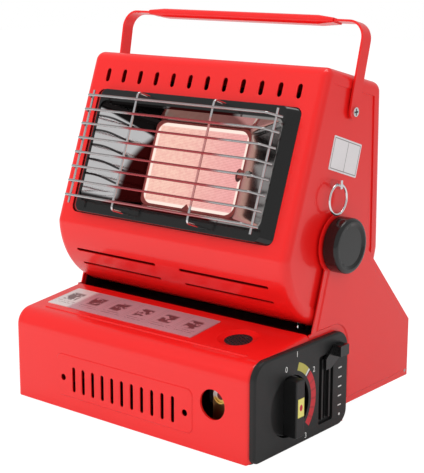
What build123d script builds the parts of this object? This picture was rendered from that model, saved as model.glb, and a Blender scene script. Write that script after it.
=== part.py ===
"""Portable gas heater: a tilting radiant head between two arms, on a base that holds a gas cartridge.

Frame: +X right, +Y back, +Z up, origin on the floor at the centre of the footprint.
Lengths are in millimetres and angles in degrees.
"""

import os
from math import atan2, cos, degrees, hypot, radians, sin, sqrt, tan

from build123d import *

os.makedirs("parts", exist_ok=True)

# ---------------------------------------------------------------- driving sizes
# Clearances and fits
running_gap = 0.05
seat_gap = 0.3
loose_gap = 0.5

# Sheet metal and small screws
sheet = 1.0
arm_sheet = 1.2
strap_thickness = 1.5
flange_width = 9.0
press_draft = 45.0
upright = 90.0
screw_radius = 1.5
screw_hole_radius = 1.8
screw_head_draft = 20.0

# Base housing
base_width = 257.0
base_depth = 229.0
foot_height = 3.0
front_wall_height = 77.2
top_slope = 6.5
shell_depth = 76.0
low_box_depth = 127.0
rear_floor_rise = 13.8
front_edge_round = 15.0
side_edge_round = 4.0
low_edge_round = 5.0
shell_flange_drop = 6.0
low_lip = 19.0
rear_floor_stop = 9.0
floor_screw_spacing = 64.0
floor_screw_count = 4
foot_radius = 6.5
foot_round = 1.5
front_foot_from_edge = 12.0
rear_foot_from_edge = 16.0
foot_from_side = 11.0
rear_foot_width = 13.0
rear_foot_spacing = 96.0

# Front pressing, vents and sight hole
pressing_length = 151.0
pressing_height = 37.5
pressing_round = 6.0
pressing_depth = 0.8
pressing_x = -2.7
pressing_z = 33.5
vent_count = 11
vent_pitch = 11.0
vent_width = 3.6
vent_length = 22.0
vent_drop = 2.0
vent_end_radius = 2.8
vent_end_spacing = 134.9
sight_hole_x = 92.3
sight_hole_z = 44.4
sight_hole_radius = 12.3

# Dished hole, mesh, ridge and plate on the sloping top
dish_x = 81.5
dish_y = 46.0
dish_hole_radius = 11.5
dish_radius = 17.0
dish_angle = 140.0
mesh_thickness = 0.8
mesh_hole_radius = 1.0
mesh_bar = 0.6
mesh_rows = 9
ridge_length = 222.0
ridge_width = 4.0
ridge_height = 0.8
ridge_y = 19.5
plate_length = 164.0
plate_depth = 39.0
plate_thickness = 0.6
plate_x = -33.5
plate_y = 45.7

# Tilt axis and head
tilt_from_front = 113.6
tilt_height = 153.3
tilt_back = 55.0
tilt_forward = 12.0
head_gap = 1.9
head_radius = 66.0
head_belly = 3.0
front_lean = 20.3
front_offset = 60.7
head_top_slope = 13.7
head_top_offset = 134.9
back_lean = 0.8
back_offset = 67.3
head_corner_round = 9.0
head_side_round = 7.0
head_crease_round = 12.0
head_heel_round = 8.0
head_rim = 12.0

# Window, vents above it and louvres in the lower curve
window_width = 219.0
window_height = 110.7
window_centre = 39.2
window_round = 6.5
head_vent_count = 12
head_vent_pitch = 18.66
head_vent_width = 4.6
head_vent_length = 12.0
head_vent_line = 107.4
louvre_angles = (25.0, 38.5, 59.0)
louvre_length = 92.0
louvre_width = 3.0
louvre_centre = 59.0
pipe_margin = 4.5

# Back cover
back_rim = 14.0
back_opening = 105.0
back_cover_centre = 50.0
back_lap = 12.0
back_vent_length = 60.0
back_vent_gap = 8.0
back_vent_pitch = 14.0
back_vent_rows = 6
cover_screw_rise = 45.0

# Bezel and reflector
bezel_lap = 12.0
opening_width = 197.0
opening_height = 88.7
bezel_rise = 6.0
bezel_face_width = 200.0
bezel_face_height = 109.0
lip_round = 0.6
reflector_sheet = 0.6
reflector_width = 195.0
reflector_height = 84.6
reflector_lap = 8.0
throat_width = 103.0
throat_height = 74.0

# Wire guard
wire_radius = 1.0
weld_gap = 0.05
guard_proud = 26.0
guard_wire_count = 8
guard_wire_pitch = 12.5
guard_half_flat = 95.0
guard_half_width = 102.5
guard_end_proud = 14.0
guard_bar_inner = 41.0
guard_bar_outer = 98.5
guard_foot_high = 89.5
guard_foot_low = -11.1
guard_foot_depth = 3.0

# Burner
burner_width = 116.0
burner_height = 87.0
burner_depth = 24.0
burner_wall = 1.5
plaque_width = 100.0
plaque_height = 71.0
plaque_thickness = 13.0
plaque_depth = 21.0
plaque_round = 10.0
plaque_lap = 3.0
frame_tab_height = 7.0
frame_tab_width = 4.0
frame_notch = 4.0
bracket_flange = 7.0
ear_x = 76.0
ear_radius = 9.0
venturi_radius = 9.0
venturi_wall = 1.0
venturi_end_x = -10.0
swivel_x = 60.0
swivel_length = 20.0
swivel_radius = 6.0
jet_rise = 20.0
jet_radius = 2.5
jet_length = 6.0
electrode_gap = 0.6
electrode_radius = 2.4
electrode_front = 12.5
electrode_length = 37.5
electrode_reach = 8.0

# Arms and clamp knobs
arm_radius = 25.0
arm_rear_angle = 42.8
arm_front_foot = 80.4
arm_front_lean = 18.0
arm_pressing = 1.0
arm_rim = 5.0
clamp_radius = 22.5
clamp_thickness = 12.5
clamp_round = 3.0
clamp_dish = 1.5
clamp_dish_draft = 60.0
stud_radius = 4.0
stud_in_knob = 7.0
nut_flats = 13.0
nut_thickness = 6.5
washer_radius = 13.0

# Heat shield between the base and the head
shield_height = 77.5
shield_bend_from_front = 117.0
shield_rear_from_front = 180.0
shield_rise = 22.0
shield_side = 18.0

# Control panel and gas knob
panel_depth = 125.5
panel_height = 80.0
panel_low = 1.5
panel_proud = 5.0
panel_wall = 2.2
panel_round = 15.0
panel_rear_low_round = 12.0
panel_front_low_round = 6.0
panel_edge = 2.0
dial_from_front = 45.0
dial_height = 37.0
dial_recess_radius = 25.0
dial_recess_depth = 7.0
dial_disc_thickness = 4.0
dial_bar_width = 11.0
dial_bar_proud = 10.0
stem_radius = 3.0
stem_in_knob = 8.0
stem_in_valve = 8.0

# Lock lever in the panel's channel
lever_from_front = 94.0
lever_slot_low = 12.0
lever_slot_high = 65.0
lever_slot_width = 3.4
lever_channel_width = 20.0
lever_channel_depth = 2.6
lever_blade = 2.4
lever_blade_height = 9.0
lever_travel = 38.0
lever_tab_y = 14.0
lever_tab_width = 12.0
lever_tab_proud = 6.0

# Cartridge bay and pusher
cartridge_from_front = 148.0
cartridge_height = 52.0
cartridge_radius = 34.5
cartridge_length = 185.0
bay_end = 80.0
cradle_x = -12.0
cradle_length = 140.0
cradle_width = 40.0
cradle_height = 9.0
pusher_travel = 5.0
pusher_arm = 8.0
pusher_from_front = 80.0
pusher_z = 20.0
guide_spacing = 120.0
cam_x = 114.0
cam_plate_from_front = 87.0
cam_pin_radius = 2.0
cam_pin_length = 9.8
cam_margin = 6.0

# Valve, regulator, pipes and lead
valve_left_x = 80.0
valve_right_x = 120.0
valve_from_front = 66.0
valve_low_z = 25.0
valve_high_z = 57.0
valve_nose = 3.0
stem_boss = 6.0
cap_x = 92.5
cap_z = 49.0
cap_radius = 6.5
cap_thickness = 3.0
regulator_x = 83.0
regulator_length = 35.0
regulator_radius = 20.0
regulator_neck_radius = 15.0
regulator_bore = 10.0
regulator_boss = 4.5
supply_x = 88.0
supply_z = 48.0
pipe_x = 95.0
pipe_low_z = 34.0
pipe_radius = 3.0
pipe_socket = 4.0
pipe_bend = 12.0
piezo_size = 14.0
lead_x = 101.0
lead_end = 5.0
lead_radius = 1.1

# Rear door
door_face_inset = 0.4
door_gap = 0.8
door_pin_z = 21.5
door_pin_radius = 1.5
door_knuckle_radius = 3.2
door_top_from_front = 183.0
door_lip = 6.0
door_vent_z = 42.0

# Carry handle
handle_from_front = 134.5
handle_height = 257.0
handle_lean = 12.7
handle_length = 70.3
handle_splay = 2.0
handle_gap = 0.6
handle_strip_width = 12.0
handle_strip_thickness = 1.8
handle_bend = 13.0
shoulder_radius = 2.4
shoulder_head_radius = 3.8
grip_length = 198.0
grip_thickness = 7.6
grip_width = 15.0
grip_taper = 16.0

# Plate, lug and ring on the right side of the head
side_plate_width = 41.0
side_plate_height = 27.5
side_plate_from_front = 127.3
side_plate_z = 224.6
side_plate_turn = 17.5
side_plate_thickness = 0.5
ring_from_front = 109.0
ring_height = 190.5
ring_radius = 12.0
ring_wire = 1.1
ring_x = 130.8
lug_eye = 3.4
lug_hole = 1.25
lug_width = 3.0

# ---------------------------------------------------------------- places worked out from them
half_width = base_width / 2
front_y = -base_depth / 2
rear_y = base_depth / 2
shell_rear_y = front_y + shell_depth
low_rear_y = front_y + low_box_depth
floor_z = foot_height + 2 * sheet
rear_floor_z = foot_height + rear_floor_rise + sheet
foot_x = half_width - foot_from_side
lip_half = half_width - low_lip
slope_rise = tan(radians(top_slope))
bay_y = front_y + cartridge_from_front
bay_z = foot_height + cartridge_height

shield_z = foot_height + shield_height
shield_bend_y = front_y + shield_bend_from_front
shield_rear_y = front_y + shield_rear_from_front
shield_side_y = front_y + arm_front_foot + 2 * sheet
tilt_y = front_y + tilt_from_front
tilt_z = foot_height + tilt_height
arm_inner_x = half_width - arm_sheet
head_half = arm_inner_x - head_gap
pan_outer_x = head_half - sheet
front_normal = 180 - front_lean
top_normal = 90 - head_top_slope
washer_thickness = arm_inner_x + arm_pressing - seat_gap - pan_outer_x
clamp_x = half_width + arm_pressing + seat_gap
pan_inner_x = pan_outer_x - sheet
bracket_depth = plaque_depth + burner_depth
cover_screw_x = head_half - back_rim + 2 * screw_radius

electrode_x = burner_width / 2 + electrode_gap + electrode_radius

panel_face_x = half_width + panel_proud
valve_rear_y = front_y + valve_from_front
pusher_y = front_y + pusher_from_front
cam_plate_y = front_y + cam_plate_from_front
dial_y = front_y + dial_from_front
dial_z = foot_height + dial_height
dial_floor_x = panel_face_x - dial_recess_depth
knob_face_x = panel_face_x + dial_bar_proud
lever_y = front_y + lever_from_front
lever_middle_z = foot_height + (lever_slot_low + lever_slot_high) / 2
lever_slot_length = lever_slot_high - lever_slot_low
lever_top_z = foot_height + lever_slot_high - 2 * loose_gap
slot_back_x = panel_face_x - lever_channel_depth - panel_wall
cam_top_z = lever_top_z - lever_blade_height / 2
push_tab_x = bay_end - cartridge_length - pusher_travel
door_face_y = rear_y - door_face_inset
door_top_y = front_y + door_top_from_front
door_pin_y = door_face_y - door_knuckle_radius

side_plate_y = front_y + side_plate_from_front
handle_y = front_y + handle_from_front
handle_z = foot_height + handle_height
handle_inner_x = head_half + handle_gap
shoulder_length = handle_inner_x + handle_strip_thickness + 2 * running_gap - pan_outer_x
ring_y = front_y + ring_from_front
ring_z = foot_height + ring_height
ring_top_z = ring_z + ring_radius

dial_place = (dial_y, dial_z)
bay_place = (bay_y, bay_z)
door_pin_place = (door_pin_y, door_pin_z)
handle_place = (handle_y, handle_z)
floor_screw_y = front_y + low_lip / 2 + loose_gap

tilt_plane = Plane(origin=(0, tilt_y, tilt_z), x_dir=(0, 1, 0), z_dir=(1, 0, 0))
base_front = Plane(origin=(0, front_y, 0), x_dir=(1, 0, 0), z_dir=(0, -1, 0))
base_top = Plane(
    origin=(0, front_y, foot_height + front_wall_height),
    x_dir=(1, 0, 0),
    z_dir=(0, -sin(radians(top_slope)), cos(radians(top_slope))),
)
head_front = Plane(
    origin=(
        0,
        tilt_y + front_offset * cos(radians(front_normal)),
        tilt_z + front_offset * sin(radians(front_normal)),
    ),
    x_dir=(1, 0, 0),
    z_dir=(0, cos(radians(front_normal)), sin(radians(front_normal))),
)
head_back = Plane(
    origin=(
        0,
        tilt_y + back_offset * cos(radians(back_lean)),
        tilt_z + back_offset * sin(radians(back_lean)),
    ),
    x_dir=(-1, 0, 0),
    z_dir=(0, cos(radians(back_lean)), sin(radians(back_lean))),
)
handle_plane = Plane(
    origin=(0, handle_y, handle_z),
    x_dir=(1, 0, 0),
    z_dir=(0, -cos(radians(handle_lean)), sin(radians(handle_lean))),
)
grip_plane = Plane(
    origin=handle_plane.from_local_coords((0, handle_length + handle_strip_thickness / 2, 0)),
    x_dir=handle_plane.z_dir,
    z_dir=(1, 0, 0),
)


def crossing(first_angle, first_distance, second_angle, second_distance):
    """Point where two lines cross, each given by its normal's angle and distance from the tilt axis."""
    spread = sin(radians(second_angle - first_angle))
    across = first_distance * sin(radians(second_angle)) - second_distance * sin(radians(first_angle))
    upward = second_distance * cos(radians(first_angle)) - first_distance * cos(radians(second_angle))
    return (across / spread, upward / spread)


def rim_point(angle, distance, radius, side):
    """Point where a line, given by its normal, meets the round bottom of the head."""
    along = side * sqrt(radius**2 - distance**2)
    turn = radians(angle)
    return (distance * cos(turn) - along * sin(turn), distance * sin(turn) + along * cos(turn))


def head_point(x, rise, depth):
    """Point of the head from its place across, up the front, and behind the front."""
    return head_front.from_local_coords((x, rise, -depth))


def side_point(rise, depth):
    """The same place seen from the side, measured back and up from the tilt axis."""
    point = head_point(0, rise, depth)
    return (point.Y - tilt_y, point.Z - tilt_z)


def arm_rear_height(y, gap):
    """Height of the arms' sloping rear edge at a depth, or of a line inside it by the gap."""
    turn = radians(arm_rear_angle)
    return tilt_z + (arm_radius - gap - (y - tilt_y) * cos(turn)) / sin(turn)


def head_section(inset):
    """Side outline of the head about the tilt axis, drawn inside the outer skin by the inset."""
    front = front_offset - inset
    back = back_offset - inset
    top = head_top_offset - inset
    low = head_radius - inset
    front_top = crossing(front_normal, front, top_normal, top)
    back_top = crossing(back_lean, back, top_normal, top)
    back_low = rim_point(back_lean, back, low + head_belly, -1)
    front_low = rim_point(front_normal, front, low, 1)
    with BuildSketch() as section:
        with BuildLine():
            Polyline(front_low, front_top, back_top, back_low)
            ThreePointArc(back_low, (0, -low - head_belly), front_low)
        make_face()
        upper = section.vertices().sort_by(Axis.Y)[-2:]
        fillet(upper, max(head_corner_round - inset, sheet))
        crease = section.vertices().sort_by(Axis.X)[0]
        fillet(crease, max(head_crease_round - inset, sheet))
        heel = section.vertices().sort_by(Axis.X)[-2:].sort_by(Axis.Y)[0]
        fillet(heel, max(head_heel_round - inset, sheet))
    return section.sketch


def head_block(inset):
    """Solid head, rounded where the front, top and bottom turn into the sides."""
    with BuildPart() as block:
        with BuildSketch(tilt_plane):
            add(head_section(inset))
        extrude(amount=head_half - inset, both=True)
        fillet(block.faces().filter_by(Axis.X).edges(), head_side_round - inset)
    return block.part


def top_height(y, inset):
    """Height of the base's sloping top at a depth from front to back."""
    rise = (y - front_y) * slope_rise
    return foot_height + front_wall_height + rise - inset / cos(radians(top_slope))


def front_box(inset):
    """Solid front box of the base, drawn inside its outer skin by the inset."""
    near = front_y + inset
    far = shell_rear_y - inset
    low = foot_height + inset
    with BuildPart() as box:
        with BuildSketch(Plane.YZ) as side:
            with BuildLine():
                Polyline(
                    (near, low),
                    (near, top_height(near, inset)),
                    (far, top_height(far, inset)),
                    (far, low),
                    close=True,
                )
            make_face()
            front_corners = side.vertices().group_by(Axis.X)[0].sort_by(Axis.Y)
            fillet(front_corners[-1], front_edge_round - inset)
            fillet(front_corners[0], low_edge_round - inset)
        extrude(amount=half_width - inset, both=True)
        ends = box.faces().filter_by(Axis.X).edges().filter_by(lambda edge: edge.center().Y < far - sheet)
        fillet(ends, side_edge_round - inset)
    return box.part


def panel_outline(grow):
    """Side outline of the control panel, grown on every side."""
    near = front_y - grow
    far = front_y + panel_depth + grow
    low = foot_height + panel_low - grow
    high = foot_height + panel_low + panel_height + grow
    with BuildSketch() as outline:
        with BuildLine():
            FilletPolyline(
                (near, low),
                (near, high),
                (far, high),
                (far, low),
                radius=[
                    panel_front_low_round + grow,
                    panel_round + grow,
                    panel_round + grow,
                    panel_rear_low_round + grow,
                ],
                close=True,
            )
        make_face()
    return outline.sketch


# ---------------------------------------------------------------- base shell
with BuildPart() as base_shell:
    add(front_box(0))
    with BuildSketch(base_front):
        with Locations((pressing_x, pressing_z)):
            RectangleRounded(pressing_length, pressing_height, pressing_round)
    extrude(amount=pressing_depth, taper=press_draft)
    with BuildSketch(base_top):
        with Locations((0, ridge_y)):
            SlotOverall(ridge_length, ridge_width)
    extrude(amount=ridge_height, taper=40)
    add(front_box(sheet), mode=Mode.SUBTRACT)
    with BuildSketch(base_front.offset(-sheet)):
        with Locations((pressing_x, pressing_z)):
            RectangleRounded(
                pressing_length - pressing_depth, pressing_height - pressing_depth, pressing_round
            )
    extrude(amount=pressing_depth, taper=press_draft, mode=Mode.SUBTRACT)
    # Sheet drawn down round the dished hole, and turned in round the sight hole
    with BuildSketch(base_top.offset(-sheet)):
        with Locations((dish_x, dish_y)):
            Circle(dish_radius)
    extrude(amount=-sheet)
    with Locations(base_top.location * Location((dish_x, dish_y, 0))):
        CounterSinkHole(dish_hole_radius, dish_radius, counter_sink_angle=dish_angle, depth=4 * sheet)
    with BuildSketch(base_front.offset(-sheet)):
        with Locations((sight_hole_x, sight_hole_z)):
            Circle(sight_hole_radius + sheet)
    extrude(amount=-sheet)
    with BuildSketch(base_front.offset(2 * sheet)):
        with Locations((sight_hole_x, sight_hole_z)):
            Circle(sight_hole_radius)
        with Locations((pressing_x, pressing_z - vent_drop)):
            with GridLocations(vent_pitch, 0, vent_count, 1):
                SlotOverall(vent_length, vent_width, rotation=upright)
            with GridLocations(vent_end_spacing, 0, 2, 1):
                Circle(vent_end_radius)
    extrude(amount=-6 * sheet, mode=Mode.SUBTRACT)
    # Open bottom and back, with folded lips left all round
    with BuildSketch(Plane.XY.offset(foot_height - sheet)):
        with Locations((0, front_y + low_lip)):
            Rectangle(2 * lip_half, shell_depth, align=(Align.CENTER, Align.MIN))
    extrude(amount=3 * sheet, mode=Mode.SUBTRACT)
    with BuildSketch(Plane.XZ.offset(-shell_rear_y - sheet)):
        with Locations((0, foot_height + sheet)):
            Rectangle(
                2 * lip_half,
                top_height(shell_rear_y, 0) - shell_flange_drop - foot_height - sheet,
                align=(Align.CENTER, Align.MIN),
            )
    extrude(amount=3 * sheet, mode=Mode.SUBTRACT)
    # Opening behind the control panel
    with BuildSketch(Plane.YZ.offset(half_width - 2 * sheet)):
        with Locations((front_y + flange_width, foot_height + flange_width)):
            Rectangle(shell_depth, panel_height - 2 * flange_width, align=(Align.MIN, Align.MIN))
    extrude(amount=3 * sheet, mode=Mode.SUBTRACT)
    with BuildSketch(Plane.XY.offset(foot_height - sheet)):
        with Locations((0, floor_screw_y)):
            with GridLocations(floor_screw_spacing, 0, floor_screw_count, 1):
                Circle(screw_hole_radius)
    extrude(amount=3 * sheet, mode=Mode.SUBTRACT)
base_shell.part.label = "base_shell"
export_step(base_shell.part, "parts/base_shell.step")

# ---------------------------------------------------------------- base floor, screws and feet
with BuildPart() as base_floor:
    with BuildSketch(Plane.YZ):
        with BuildLine():
            Polyline(
                (front_y + low_edge_round, floor_z - sheet),
                (low_rear_y - sheet, floor_z - sheet),
                (low_rear_y - sheet, rear_floor_z - sheet),
                (rear_y - rear_floor_stop, rear_floor_z - sheet),
            )
            offset(amount=sheet, side=Side.LEFT)
        make_face()
    extrude(amount=arm_inner_x, both=True)
    # Upturned sides that the arms are welded to
    for side_x in (-arm_inner_x, arm_inner_x - sheet):
        with BuildSketch(Plane.YZ.offset(side_x)):
            with BuildLine():
                Polyline(
                    (shell_rear_y + sheet, floor_z - sheet),
                    (low_rear_y - sheet, floor_z - sheet),
                    (low_rear_y - sheet, rear_floor_z - sheet),
                    (rear_y - rear_floor_stop, rear_floor_z - sheet),
                    (rear_y - rear_floor_stop, rear_floor_z + flange_width),
                    (low_rear_y - sheet, rear_floor_z + flange_width),
                    (low_rear_y - flange_width, floor_z + flange_width),
                    (shell_rear_y + sheet, floor_z + flange_width),
                    close=True,
                )
            make_face()
        extrude(amount=sheet)
    # Narrower where it lies inside the shell's lips
    with BuildSketch(Plane.XY.offset(foot_height)):
        for side in (-1, 1):
            with Locations((side * (lip_half - seat_gap), shell_rear_y + seat_gap)):
                Rectangle(
                    2 * low_lip,
                    shell_depth,
                    align=(Align.MIN if side > 0 else Align.MAX, Align.MAX),
                )
        with Locations((0, floor_screw_y)):
            with GridLocations(floor_screw_spacing, 0, floor_screw_count, 1):
                Circle(screw_hole_radius)
    extrude(amount=3 * sheet, mode=Mode.SUBTRACT)
base_floor.part.label = "base_floor"
export_step(base_floor.part, "parts/base_floor.step")

with BuildPart() as floor_screws:
    with BuildSketch(Plane.XY.offset(foot_height)):
        with Locations((0, floor_screw_y)):
            with GridLocations(floor_screw_spacing, 0, floor_screw_count, 1):
                Circle(screw_radius)
    extrude(amount=4 * sheet)
    with BuildSketch(Plane.XY.offset(foot_height)):
        with Locations((0, floor_screw_y)):
            with GridLocations(floor_screw_spacing, 0, floor_screw_count, 1):
                Circle(2 * screw_radius)
    extrude(amount=-screw_radius)
floor_screws.part.label = "floor_screws"
export_step(floor_screws.part, "parts/floor_screws.step")

with BuildPart() as front_feet:
    with BuildSketch(Plane.XY):
        with Locations((0, front_y + front_foot_from_edge)):
            with GridLocations(2 * foot_x, 0, 2, 1):
                Circle(foot_radius)
    extrude(amount=foot_height)
    fillet(front_feet.faces().group_by(Axis.Z)[0].edges(), foot_round)
front_feet.part.label = "front_feet"
export_step(front_feet.part, "parts/front_feet.step")

with BuildPart() as rear_feet:
    with BuildSketch(Plane.XY):
        with Locations((0, rear_y - rear_foot_from_edge)):
            with GridLocations(rear_foot_spacing, 0, 2, 1):
                RectangleRounded(rear_foot_width, rear_foot_width, foot_round)
    extrude(amount=rear_floor_z - sheet)
rear_feet.part.label = "rear_feet"
export_step(rear_feet.part, "parts/rear_feet.step")

# ---------------------------------------------------------------- trim on the base
with BuildPart() as instruction_plate:
    with BuildSketch(base_top):
        with Locations((plate_x, plate_y)):
            RectangleRounded(plate_length, plate_depth, sheet)
    extrude(amount=plate_thickness)
instruction_plate.part.label = "instruction_plate"
export_step(instruction_plate.part, "parts/instruction_plate.step")

with BuildPart() as vent_mesh:
    with BuildSketch(base_top.offset(-2 * sheet)):
        with Locations((dish_x, dish_y)):
            Circle(dish_radius)
            with HexLocations(mesh_hole_radius + mesh_bar, mesh_rows, mesh_rows):
                Circle(mesh_hole_radius, mode=Mode.SUBTRACT)
    extrude(amount=-mesh_thickness)
vent_mesh.part.label = "vent_mesh"
export_step(vent_mesh.part, "parts/vent_mesh.step")


# ---------------------------------------------------------------- arms
def arm_outline():
    """Side outline of an arm: low box end, rear housing end and the round eye on the tilt axis."""
    tangent = (
        tilt_y + arm_radius * cos(radians(arm_rear_angle)),
        tilt_z + arm_radius * sin(radians(arm_rear_angle)),
    )
    near = shell_rear_y + seat_gap
    foot = (front_y + arm_front_foot, top_height(shell_rear_y, 0))
    along = (tilt_z - foot[1]) / cos(radians(arm_front_lean))
    neck = (foot[0] + along * sin(radians(arm_front_lean)), tilt_z)
    with BuildSketch() as outline:
        with BuildLine():
            Polyline(
                (near, foot_height),
                (low_rear_y, foot_height),
                (low_rear_y, rear_floor_z - sheet),
                (rear_y, rear_floor_z - sheet),
                (rear_y, arm_rear_height(rear_y, 0)),
                tangent,
                (tilt_y, tilt_z),
                neck,
                foot,
                (near, foot[1]),
                close=True,
            )
        make_face()
        with Locations((tilt_y, tilt_z)):
            Circle(arm_radius)
    return outline.sketch


def arm_plate(side, panel_side):
    """Arm on the side given as 1 or -1; the panel side is opened behind the control panel."""
    with BuildPart() as plate:
        with BuildSketch(Plane.YZ.offset(side * arm_inner_x)):
            add(arm_outline())
        extrude(amount=side * arm_sheet)
        with BuildSketch(Plane.YZ.offset(side * half_width)):
            add(arm_outline())
            offset(amount=-arm_rim)
            if panel_side:
                add(panel_outline(arm_rim), mode=Mode.SUBTRACT)
        extrude(amount=side * arm_pressing, taper=press_draft)
        with BuildSketch(Plane.YZ.offset(side * arm_inner_x)):
            add(arm_outline())
            offset(amount=-arm_rim - arm_pressing / 2)
            if panel_side:
                add(panel_outline(arm_rim + arm_pressing / 2), mode=Mode.SUBTRACT)
        extrude(amount=side * arm_pressing, taper=press_draft, mode=Mode.SUBTRACT)
        with BuildSketch(Plane.YZ.offset(side * (arm_inner_x - sheet))):
            with Locations((tilt_y, tilt_z)):
                Circle(stud_radius + loose_gap)
            with Locations(door_pin_place):
                Circle(door_pin_radius)
            if panel_side:
                with Locations((front_y, foot_height + flange_width)):
                    Rectangle(
                        panel_depth - flange_width,
                        panel_height - 2 * flange_width,
                        align=(Align.MIN, Align.MIN),
                    )
        extrude(amount=side * 6 * sheet, mode=Mode.SUBTRACT)
    return plate.part


with BuildPart() as arm_right:
    add(arm_plate(1, True))
arm_right.part.label = "arm_right"
export_step(arm_right.part, "parts/arm_right.step")

with BuildPart() as arm_left:
    add(arm_plate(-1, False))
arm_left.part.label = "arm_left"
export_step(arm_left.part, "parts/arm_left.step")

# ---------------------------------------------------------------- heat shield under the head
with BuildPart() as heat_shield:
    with BuildSketch(Plane.YZ):
        with BuildLine():
            Polyline(
                (shell_rear_y, top_height(shell_rear_y, 2 * sheet)),
                (shell_rear_y, shield_z),
                (shield_bend_y, shield_z),
                (shield_rear_y, shield_z + (shield_rear_y - shield_bend_y) * tan(radians(shield_rise))),
            )
            offset(amount=sheet, side=Side.LEFT)
        make_face()
    extrude(amount=arm_inner_x, both=True)
    with BuildSketch(Plane.XY.offset(shield_z - sheet)):
        with Locations((pipe_x + pipe_radius, tilt_y)):
            SlotOverall(6 * pipe_radius, 4 * pipe_radius)
    extrude(amount=8 * sheet, mode=Mode.SUBTRACT)
    for side_x in (-arm_inner_x + sheet, arm_inner_x):
        with BuildSketch(Plane.YZ.offset(side_x)):
            with BuildLine():
                Polyline(
                    (shield_side_y, shield_z),
                    (shield_side_y + shield_side * tan(radians(arm_front_lean)), shield_z + shield_side),
                    (shield_bend_y + shield_side / tan(radians(shield_rise)), shield_z + shield_side),
                    (shield_bend_y, shield_z),
                    close=True,
                )
            make_face()
        extrude(amount=-sheet)
heat_shield.part.label = "heat_shield"
export_step(heat_shield.part, "parts/heat_shield.step")

# ---------------------------------------------------------------- rear door and its pin
with BuildPart() as cartridge_door:
    with BuildSketch(Plane.YZ):
        with BuildLine():
            Polyline(
                (door_face_y, door_pin_z),
                (door_face_y, arm_rear_height(door_face_y, seat_gap)),
                (door_top_y, arm_rear_height(door_top_y, seat_gap)),
                (door_top_y - door_lip, arm_rear_height(door_top_y, seat_gap) - door_lip),
            )
            offset(amount=sheet, side=Side.LEFT)
        make_face()
    extrude(amount=arm_inner_x - door_gap, both=True)
    with BuildSketch(Plane.YZ):
        with Locations(door_pin_place):
            Circle(door_knuckle_radius)
    extrude(amount=arm_inner_x - door_gap, both=True)
    with BuildSketch(Plane.YZ):
        with Locations(door_pin_place):
            Circle(door_pin_radius + running_gap)
    extrude(amount=base_width, both=True, mode=Mode.SUBTRACT)
    with BuildSketch(Plane.XZ.offset(-rear_y)):
        with Locations((0, door_vent_z)):
            with GridLocations(vent_pitch, 0, vent_count, 1):
                SlotOverall(vent_length, vent_width, rotation=upright)
    extrude(amount=3 * door_knuckle_radius, mode=Mode.SUBTRACT)
cartridge_door.part.label = "cartridge_door"
export_step(cartridge_door.part, "parts/cartridge_door.step")

with BuildPart() as door_pin:
    with BuildSketch(Plane.YZ):
        with Locations(door_pin_place):
            Circle(door_pin_radius)
    extrude(amount=half_width, both=True)
door_pin.part.label = "door_pin"
export_step(door_pin.part, "parts/door_pin.step")

# ---------------------------------------------------------------- control panel, knob and stem
with BuildPart() as control_panel:
    with BuildSketch(Plane.YZ.offset(half_width)):
        add(panel_outline(0))
    extrude(amount=panel_proud)
    fillet(control_panel.faces().sort_by(Axis.X)[-1].edges(), panel_edge)
    with BuildSketch(Plane.YZ.offset(half_width)):
        add(panel_outline(-panel_wall))
    extrude(amount=panel_proud - panel_wall, mode=Mode.SUBTRACT)
    with BuildSketch(Plane.YZ.offset(panel_face_x - panel_wall)):
        with Locations(dial_place):
            Circle(dial_recess_radius + panel_wall)
    extrude(amount=-dial_recess_depth)
    with BuildSketch(Plane.YZ.offset(panel_face_x - panel_wall)):
        with Locations((lever_y, lever_middle_z)):
            Rectangle(lever_channel_width + 2 * panel_wall, lever_slot_length + 4 * panel_wall)
    extrude(amount=-lever_channel_depth)
    with BuildSketch(Plane.YZ.offset(panel_face_x)):
        with Locations(dial_place):
            Circle(dial_recess_radius)
    extrude(amount=-dial_recess_depth, mode=Mode.SUBTRACT)
    with BuildSketch(Plane.YZ.offset(panel_face_x)):
        with Locations((lever_y, lever_middle_z)):
            RectangleRounded(lever_channel_width, lever_slot_length + 2 * panel_wall, panel_wall)
            with GridLocations(lever_channel_width / 2, 0, 2, 1):
                Rectangle(panel_wall, lever_slot_length - panel_wall, mode=Mode.SUBTRACT)
    extrude(amount=-lever_channel_depth, mode=Mode.SUBTRACT)
    with BuildSketch(Plane.YZ.offset(panel_face_x)):
        with Locations(dial_place):
            Circle(stem_radius + 2 * loose_gap)
        with Locations((lever_y, lever_middle_z)):
            Rectangle(lever_slot_width, lever_slot_length)
    extrude(amount=-4 * panel_proud, mode=Mode.SUBTRACT)
control_panel.part.label = "control_panel"
export_step(control_panel.part, "parts/control_panel.step")

with BuildPart() as control_knob:
    with BuildSketch(Plane.YZ.offset(dial_floor_x + loose_gap)):
        with Locations(dial_place):
            Circle(dial_recess_radius - 2 * loose_gap)
    extrude(amount=dial_disc_thickness)
    with BuildSketch(Plane.YZ.offset(dial_floor_x + loose_gap + dial_disc_thickness)):
        with Locations(dial_place):
            Circle(dial_recess_radius - 3 * loose_gap)
            Rectangle(dial_bar_width, base_width, mode=Mode.INTERSECT)
    extrude(amount=knob_face_x - dial_floor_x - loose_gap - dial_disc_thickness)
    fillet(control_knob.faces().sort_by(Axis.X)[-1].edges(), 2 * loose_gap)
    with BuildSketch(Plane.YZ.offset(dial_floor_x)):
        with Locations(dial_place):
            Circle(stem_radius)
    extrude(amount=stem_in_knob, mode=Mode.SUBTRACT)
control_knob.part.label = "control_knob"
export_step(control_knob.part, "parts/control_knob.step")

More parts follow.
